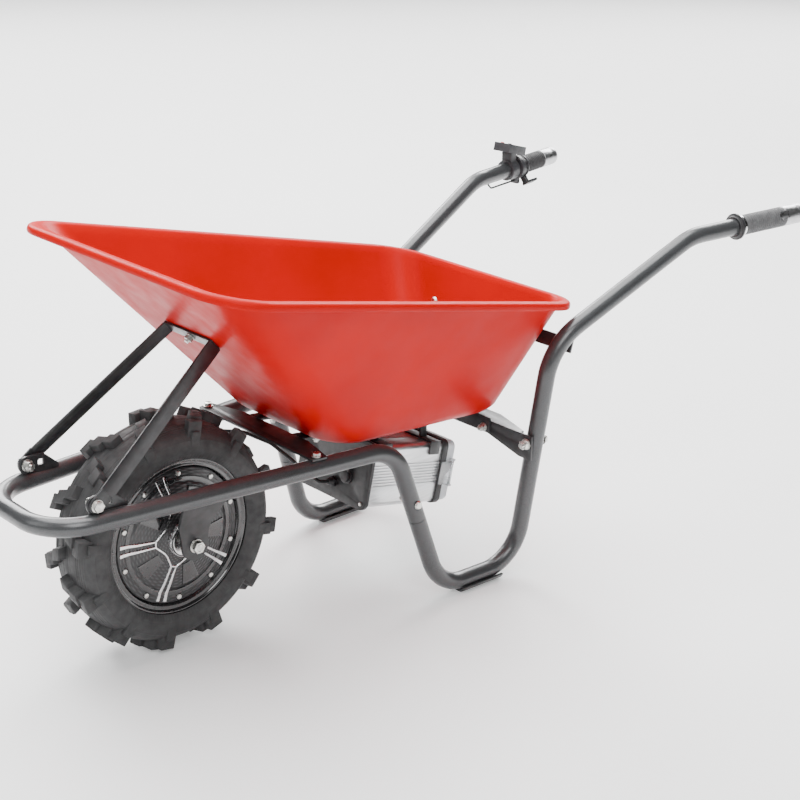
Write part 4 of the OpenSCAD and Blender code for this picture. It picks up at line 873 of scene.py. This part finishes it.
def sector_plate(turn, where, inner=50, outer=90, half_turn=11, lift=1.6):
    """A plain raised plate between two spokes, its edges eased."""
    line = [inner + (outer - inner) * j / 8 for j in range(9)]
    rings = []
    for k in range(9):
        a = math.radians(turn - half_turn + 2 * half_turn * k / 8)
        ring = []
        for r in line:
            ring.append(Vector((r * math.cos(a), r * math.sin(a), cover_height(r) + lift)) * MM)
        for r in reversed(line):
            ring.append(Vector((r * math.cos(a), r * math.sin(a), cover_height(r) - 1)) * MM)
        rings.append(ring)
    plate = lofted("plate", rings)
    eased(plate, 0.7, 2, 35)
    settle(plate, where)
    return plate


def cover_casting(node, where):
    """The hatched casting: a flat edge for the screws, a dished face and a hub boss."""
    face = [(35, 21.2), (35, 103), (35.6, 119.6), (38.8, 120), (39.6, 119.4), (40, 118.4), (40, 96.5),
            (40.8, 95), (42.4, 92.6), (43, 91), (46, 68), (49, 43), (50, 36), (51, 32), (52.5, 29.6),
            (56, 29), (61.6, 29), (63.2, 28.2), (64, 26.5), (64, 12.2), (47.6, 12.2), (47.6, 21.2)]
    cover = turned(node + ".cast", face, where, steps=120, closed=True)
    smooth(cover, 30)
    fitted(cover, "wheel", "wheel_paint", HATCHED, node)


def cover_plates(node, where, sign):
    """What stands proud in plain black: a plate in each sector, a band inside the screws, and screw bosses."""
    plates = [sector_plate(sign * (turn + 33), where) for turn in SPOKES]
    band = turned("screw_band", [(39.5, 97.5), (41.2, 97.8), (41.4, 99), (41.4, 104.5), (41, 105.6),
                                 (39.5, 106)], where, steps=120, closed=True)
    out = Matrix.Translation((SCREW_CIRCLE_R * MM, 0, 0))
    bosses = []
    for i in range(SCREWS):
        turn = Matrix.Rotation(math.radians(sign * (SCREW_PHASE + 360 / SCREWS * i)), 4, "Z")
        bosses.append(turned("boss", [(39, 5.6), (40.5, 5.6), (40.9, 5.2), (40.9, 0)], where @ turn @ out,
                             steps=20))
    proud = joined(node + ".plates", plates + [band] + bosses)
    smooth(proud, 35)
    fitted(proud, "wheel", "wheel_paint", GLOSS)


def cover_lines(node, where, sign):
    lines = joined(node + ".spokes", spoke_lines())
    settle(lines, where @ Matrix.Diagonal((1, sign, 1, 1)))
    outward(lines)
    smooth(lines, 40)
    fitted(lines, "wheel", "box_aluminium", MACHINED)


def cover_hub(node, where):
    """The bright end disc of the hub boss and the band round its foot."""
    disc = turned("hub_disc", [(63.9, 26.2), (64.25, 25.8), (64.3, 24), (64.3, 13.2), (63.9, 12.8)],
                  where, steps=72, closed=True)
    band = turned("hub_band", [(53.4, 29.2), (53.6, 29.7), (61.2, 29.7), (62.6, 28.9), (62.6, 28),
                               (53.4, 28.4)], where, steps=72, closed=True)
    hub = joined(node + ".hub", [disc, band])
    smooth(hub, 40)
    fitted(hub, "wheel", "box_aluminium", MACHINED)


def make_covers():
    for side, node in ((1, "motor_cover_right"), (-1, "motor_cover_left")):
        where = wheel_frame(side)
        sign = -side            # turns are measured above the rear, and the frame's Y runs down on the right
        cover_casting(node, where)
        cover_plates(node, where, sign)
        cover_lines(node, where, sign)
        cover_hub(node, where)


# ---- Battery box ----
BOX_TILT = math.radians(11.5)
BOX_L, BOX_W, BOX_H = 166, 186, 118
BOX_X, BOX_Z = 371, 166
BOX_TURN = Matrix.Rotation(BOX_TILT, 4, "Y")
BOX_FRAME = Matrix.Translation(at(BOX_X, 0, BOX_Z)) @ BOX_TURN


def in_box(x, y, z):
    """A point by the battery box's own axes, from the middle of its front lower edge."""
    return at(BOX_X + x * math.cos(BOX_TILT) + z * math.sin(BOX_TILT), y,
              BOX_Z - x * math.sin(BOX_TILT) + z * math.cos(BOX_TILT))


def box_ring(x, grow, corner):
    """A rounded rectangle round the box at a place along it."""
    across, high, low = BOX_W / 2 + grow - corner, BOX_H + grow - corner, -grow + corner
    points = []
    for cy, cz, start in ((across, high, 0), (-across, high, 90), (-across, low, 180), (across, low, 270)):
        for k in range(11):
            a = math.radians(start + 9 * k)
            points.append((cy + corner * math.cos(a), cz + corner * math.sin(a)))
    return [in_box(x, y, z) for y, z in points]


def make_door():
    """Battery door: a frosted moulding with soft edges, a raised rim, and knuckles on its hinge side."""
    x0, x1 = BOX_L + 14.35, BOX_L + 38.35
    rings = [box_ring(x, grow, corner) for x, grow, corner in (
        (x1 - 3, -14, 6), (x1 - 3, -7, 8), (x1 - 4.2, -3.8, 9.5), (x1 - 8, -2.6, 10), (x0 + 3, -2.2, 10.2),
        (x0 + 0.3, -2.2, 10.2), (x0, -1.6, 11), (x0, 0.4, 13.4), (x0 + 0.4, 0.9, 13.9), (x0 + 4.4, 1, 14),
        (x0 + 5.2, 0.2, 13.4), (x0 + 6, 0, 13.2), (x1 - 7, -0.4, 13), (x1 - 3.6, -1.3, 12.6),
        (x1 - 1.4, -3.2, 11.4), (x1 - 0.3, -6, 10), (x1, -9.5, 8), (x1, -16, 6), (x1, -17, 6),
        (x1 - 0.9, -19, 6), (x1 - 0.9, -24, 6))]
    shell = lofted("door_shell", rings, ends=False)
    parts = [capped(shell)]
    hinge_x, hinge_y = BOX_L + 12.35, BOX_W / 2 + 8.3
    for z in (BOX_H * 0.2, BOX_H * 0.65):
        where = Matrix.Translation(in_box(hinge_x, hinge_y, z)) @ BOX_TURN
        parts.append(turned("knuckle", [(0, 2.1), (0, 4.4), (0.6, 5), (17.4, 5), (18, 4.4), (18, 2.1)], where,
                            steps=28, closed=True))
        parts.append(block("leaf", (hinge_x + 2.6, BOX_W / 2 - 1, z), (hinge_x + 10.6, hinge_y + 3, z + 18),
                           BOX_FRAME, 1))
    for z in (BOX_H / 2 - 22 - 4.3, BOX_H / 2 + 22.3):
        parts.append(block("ear", (BOX_L + 25.2, -BOX_W / 2 - 8, z), (BOX_L + 33.2, -BOX_W / 2, z + 4),
                           BOX_FRAME, 0.8))
    where = Matrix.Translation(in_box(BOX_L + 29.23, -BOX_W / 2 - 4.5, BOX_H / 2 - 24)) @ BOX_TURN
    parts.append(turned("latch_pin", [(0, 0), (0, 1.4), (48, 1.4), (48, 0)], where, steps=20))
    door = joined("battery_door", parts)
    smooth(door, 45)
    return fitted(door, "door", "door_plastic", FROSTED, "box_door")


def make_box():
    carried("box_body", "frame", "box_aluminium", ALUMINIUM, 0.4)
    carried("box_front_plate", "frame", "black_plastic", PLASTIC, 1.4, 3)
    carried("box_bezel", "frame", "black_plastic", PLASTIC, 1.2, 3)
    carried("box_gasket", "frame", "tube_rubber", TUBE_RUBBER, 0)
    carried("box_screws", "frame", "zinc", ZINC, 0.5)
    carried("box_hangers", "frame", "black_paint", BLACK, 0.6)
    carried("cable_gland", "frame", "black_plastic", PLASTIC, 0.5)
    carried("charge_port", "frame", "black_plastic", PLASTIC, 0.4)
    carried("charge_cap", "port_cap", "black_plastic", PLASTIC, 0.8)
    carried("door_hinge_pin", "frame", "zinc", ZINC, 0.4)
    carried("door_latch", "latch", "door_plastic", CLEAR, 0.7)
    make_door()


# ---- Handles ----
def bar_frame(side, x=0.0):
    """A frame on a handle's level end, Z back along the tube from its bend, X up."""
    a, b = (at(p[0], side * p[1], p[2]) for p in (HIGH, GRIP_END))
    along = (b - a).normalized()
    up = (Vector((0, 0, 1)) - along * along.z).normalized()
    return Matrix.Translation(a + along * x * MM) @ Matrix((up, along.cross(up), along)).transposed().to_4x4()


CAP_X = math.dist(HIGH, GRIP_END) + 6 - CAP_L
GRIP_X = {side: CAP_X - length for side, length in GRIP_L.items()}
COLLAR_X = GRIP_X[1] - COLLAR_L


def grip_outline(length, end, pitch=5.2, deep=0.9):
    """Rounded ribs along a grip, with a smooth band at each end."""
    bore, chamfer = 16.1, 17.6
    points = [(0.05, bore), (0.05, chamfer), (1.2, GRIP_R), (end, GRIP_R)]
    count = int((length - 2 * end) / pitch)
    start = (length - count * pitch) / 2
    for k in range(count):
        z = start + k * pitch
        points += [(z + 0.12 * pitch, GRIP_R), (z + 0.24 * pitch, GRIP_R - deep),
                   (z + 0.42 * pitch, GRIP_R - deep), (z + 0.54 * pitch, GRIP_R)]
    return points + [(length - end, GRIP_R), (length - 1.2, GRIP_R), (length - 0.05, chamfer),
                     (length - 0.05, bore)]


def make_end_cap(side):
    """A silver end cap: a stepped turned cup, and an arrow-shaped tongue laid forward over the grip."""
    cup = turned("cap_cup", [(0, 16.3), (0, 18.2), (0.5, 18.8), (2, 19), (30, 19), (31, 18.6), (32, 18.6),
                             (33, 19), (42.4, 19), (44.6, 18), (46.6, 16.2), (47.6, 14.6), (48, 13.6),
                             (47.4, 12), (46.8, 0), (41.6, 0), (41.6, 16.3)],
                 bar_frame(side, CAP_X), steps=72)
    rings = []
    for z, half in ((-21, 0.6), (-17, 5.4), (-13, 9.6), (-12, 9.8), (-11.4, 6.4), (-6, 6.4), (0, 7.2), (4, 8)):
        ring = []
        for radius, flip in ((19.45, 1), (18.2, -1)):
            for k in range(7):
                a = flip * (half * (k - 3) / 3) / GRIP_R
                ring.append(Vector((radius * math.cos(a), radius * math.sin(a), z)) * MM)
        rings.append(ring)
    tongue = lofted("cap_tongue", rings)
    settle(tongue, bar_frame(side, CAP_X) @ Matrix.Rotation(math.radians(-side * 62), 4, "Z"))
    cap = joined("grip_cap" + (".right" if side > 0 else ".left"), [cup, tongue])
    outward(cap)
    smooth(cap, 32)
    return cap


def make_handles():
    for hand, side, smooth_end, finish in (("left", -1, 7, GRIP_GREY), ("right", 1, 6, GRIP_BLACK)):
        grip = turned("grip_rubber." + hand, grip_outline(GRIP_L[side], smooth_end),
                      bar_frame(side, GRIP_X[side]), steps=72, closed=True)
        smooth(grip, 50)
        fitted(grip, "frame", "grip_rubber", finish, "grip_" + hand)
    caps = joined("grip_caps", [make_end_cap(1), make_end_cap(-1)])
    fitted(caps, "frame", "cap_silver", SILVER, "grip_end_caps")
    flange = turned("flange_ring", [(0, 16.1), (0, 19.4), (0.6, 20), (2.2, 21.4), (3.2, 25), (6.8, 25),
                                    (7.6, 24), (8.6, 21), (10.6, 20), (11.9, 19.6), (11.9, 16.1)],
                    bar_frame(-1, GRIP_X[-1] - 18), steps=72, closed=True)
    collar = turned("collar_ring", [(0, 16.1), (0, 19.4), (0.6, 20), (3.4, 20), (4, 19.4), (4, 16.1)],
                    bar_frame(1, COLLAR_X), steps=72, closed=True)
    rings = joined("handle_collars", [flange, collar])
    smooth(rings, 40)
    fitted(rings, "frame", "black_plastic", PLASTIC, "grip_collars")
    bright = turned("chrome_ring", [(0, 16.1), (0, 19), (0.8, 20), (5.2, 20), (6, 19), (6, 16.1)],
                    bar_frame(-1, GRIP_X[-1] - 6), steps=72, closed=True)
    smooth(bright, 40)
    fitted(bright, "frame", "cap_silver", CHROME)
    carried("throttle_housing", "frame", "display_plastic", HOUSING, 1.2, 3)
    carried("throttle_lever", "throttle", "black_plastic", PLASTIC, 1.2, 3)
    carried("display_housing", "frame", "display_plastic", HOUSING, 1.4, 3)
    carried("display_screen", "frame", "screen_glass", GLASS, 0.2)
    carried("power_button", "power_key", "red_key", RED_KEY, 0.6)
    carried("mode_button", "mode_key", "black_plastic", PLASTIC, 0.6)


# ---- The rest: drawn pieces carried over, and the ones that only need their finish ----
def make_ironwork():
    for node in ("front_brace", "brace_brackets", "front_cross_plate", "rear_crossmember", "upper_crossbar",
                 "skid_plates"):
        carried(node, "frame", "black_paint", BLACK, 0.7)
    for node in ("dropout_left", "dropout_right"):
        carried(node, "frame", "black_paint", BLACK, 0.8, 3)
    for node in ("tray_bolts", "brace_bolts", "cross_plate_bolts", "crossmember_bolts", "leg_joint_bolts",
                 "axle", "axle_nuts", "axle_washers"):
        carried(node, "frame", "zinc", ZINC, 0.45)
    carried("cover_screws", "wheel", "zinc", ZINC, 0.6)
    carried("cable_clips", "frame", "black_plastic", PLASTIC, 0.4)
    carried("valve_stem", "wheel", "tube_rubber", TUBE_RUBBER, 0.4)


def finish_inner_pieces():
    for node, finish in (("inner_tube", TUBE_RUBBER), ("magnet_ring", MAGNET), ("stator_core", STEEL),
                         ("stator_windings", COPPER), ("wheel_bearings", ZINC), ("battery_pack", PLASTIC),
                         ("controller", ALUMINIUM), ("battery_dock", PLASTIC)):
        slots = NODES[node].data.materials
        for k in range(len(slots)):
            slots[k] = finish


def make_cables():
    lead_r, lever_w = 3.5, 24
    under = FRAME_Z - TUBE - lead_r - 0.3

    def tube_y(x):
        return NOSE[1] + SPLAY * (x - NOSE[0])
    gland_end, gland_in = ((p.x, p.y, p.z) for p in (in_box(-25, -5, 26), in_box(-43, -5, 26)))
    route = [at(0, 94, 207), at(0, 116, 207), at(34, tube_y(34) - 6, under), at(60, tube_y(60), under),
             at(185, tube_y(185), under), at(245, tube_y(225) - 52, under - 4), at(277, 62, under - 22),
             Vector(gland_in), Vector(gland_end)]
    cable = rod("motor_lead", bent(route, [10, 14, 12, 30, 18, 26, 12], 6), lead_r, 20)
    fitted(cable, "frame", "cable_jacket", JACKET, "motor_cable")
    base = bar_frame(1)
    throttle_x = COLLAR_X - lever_w
    path = [base @ (Vector(p) * MM) for p in ((-TUBE - 12, 0, throttle_x + 1.9), (-TUBE - 12, 0, 56),
                                              (-TUBE - 1.7, 0, 46))]
    lead = rod("throttle_lead", bent(path, [10], 8), 2, 16)
    fitted(lead, "frame", "cable_jacket", JACKET, "throttle_cable")


# ---- Studio ----
# Lamps: name, place, width in metres, power in watts
LAMPS = (
    ("key_light", (-1.6, -2.8, 3.0), 2.4, 110),
    ("fill_light", (-3.6, 0.4, 2.2), 2.4, 40),
    ("back_light", (1.8, 2.6, 3.0), 2.6, 60),
    ("top_light", (0.0, 0.6, 5.0), 5.0, 600),
    ("far_left", (1.5, 7.0, 4.5), 5.0, 900),
    ("far_right", (7.0, 3.5, 4.5), 5.0, 900))


def make_studio():
    deselect()
    bpy.ops.mesh.primitive_plane_add(size=40, location=(0, 0, 0))
    floor = begun("studio_floor")
    settle(floor)
    paper, tree, shader = surface("studio_paper", (0.84, 0.84, 0.84), 0.9)
    tinted(tree, shader, grain(tree, 2, 2), (0.3, (0.83, 0.83, 0.83)), (0.7, (0.85, 0.85, 0.85)))
    shader.inputs["Emission Color"].default_value = (1, 1, 1, 1)
    shader.inputs["Emission Strength"].default_value = 0.25
    floor.data.materials.append(paper)
    for name, place, size, power in LAMPS:
        lamp = bpy.data.lights.new(name, "AREA")
        lamp.shape = "DISK"
        lamp.size = size
        lamp.energy = power
        light = bpy.data.objects.new(name, lamp)
        bpy.context.collection.objects.link(light)
        light.matrix_world = facing(Vector(place), Vector(place) - Vector((0, 0, 0.3)), (1, 0, 0))
    world = bpy.data.worlds.new("studio_air")
    bpy.context.scene.world = world
    world.use_nodes = True
    sky = world.node_tree
    place = added(sky, "ShaderNodeTexCoord")
    height = added(sky, "ShaderNodeSeparateXYZ", [(place.outputs["Generated"], "Vector")])
    air = sky.nodes["Background"]
    sky.links.new(ranged(sky, height.outputs["Z"], 0.12, 0.9, 0.2, 0.8), air.inputs["Strength"])


set_camera()
make_tub()
make_frame_tubes()
make_tyre()
make_rim()
make_covers()
make_ironwork()
make_box()
make_handles()
make_cables()
finish_inner_pieces()
make_studio()
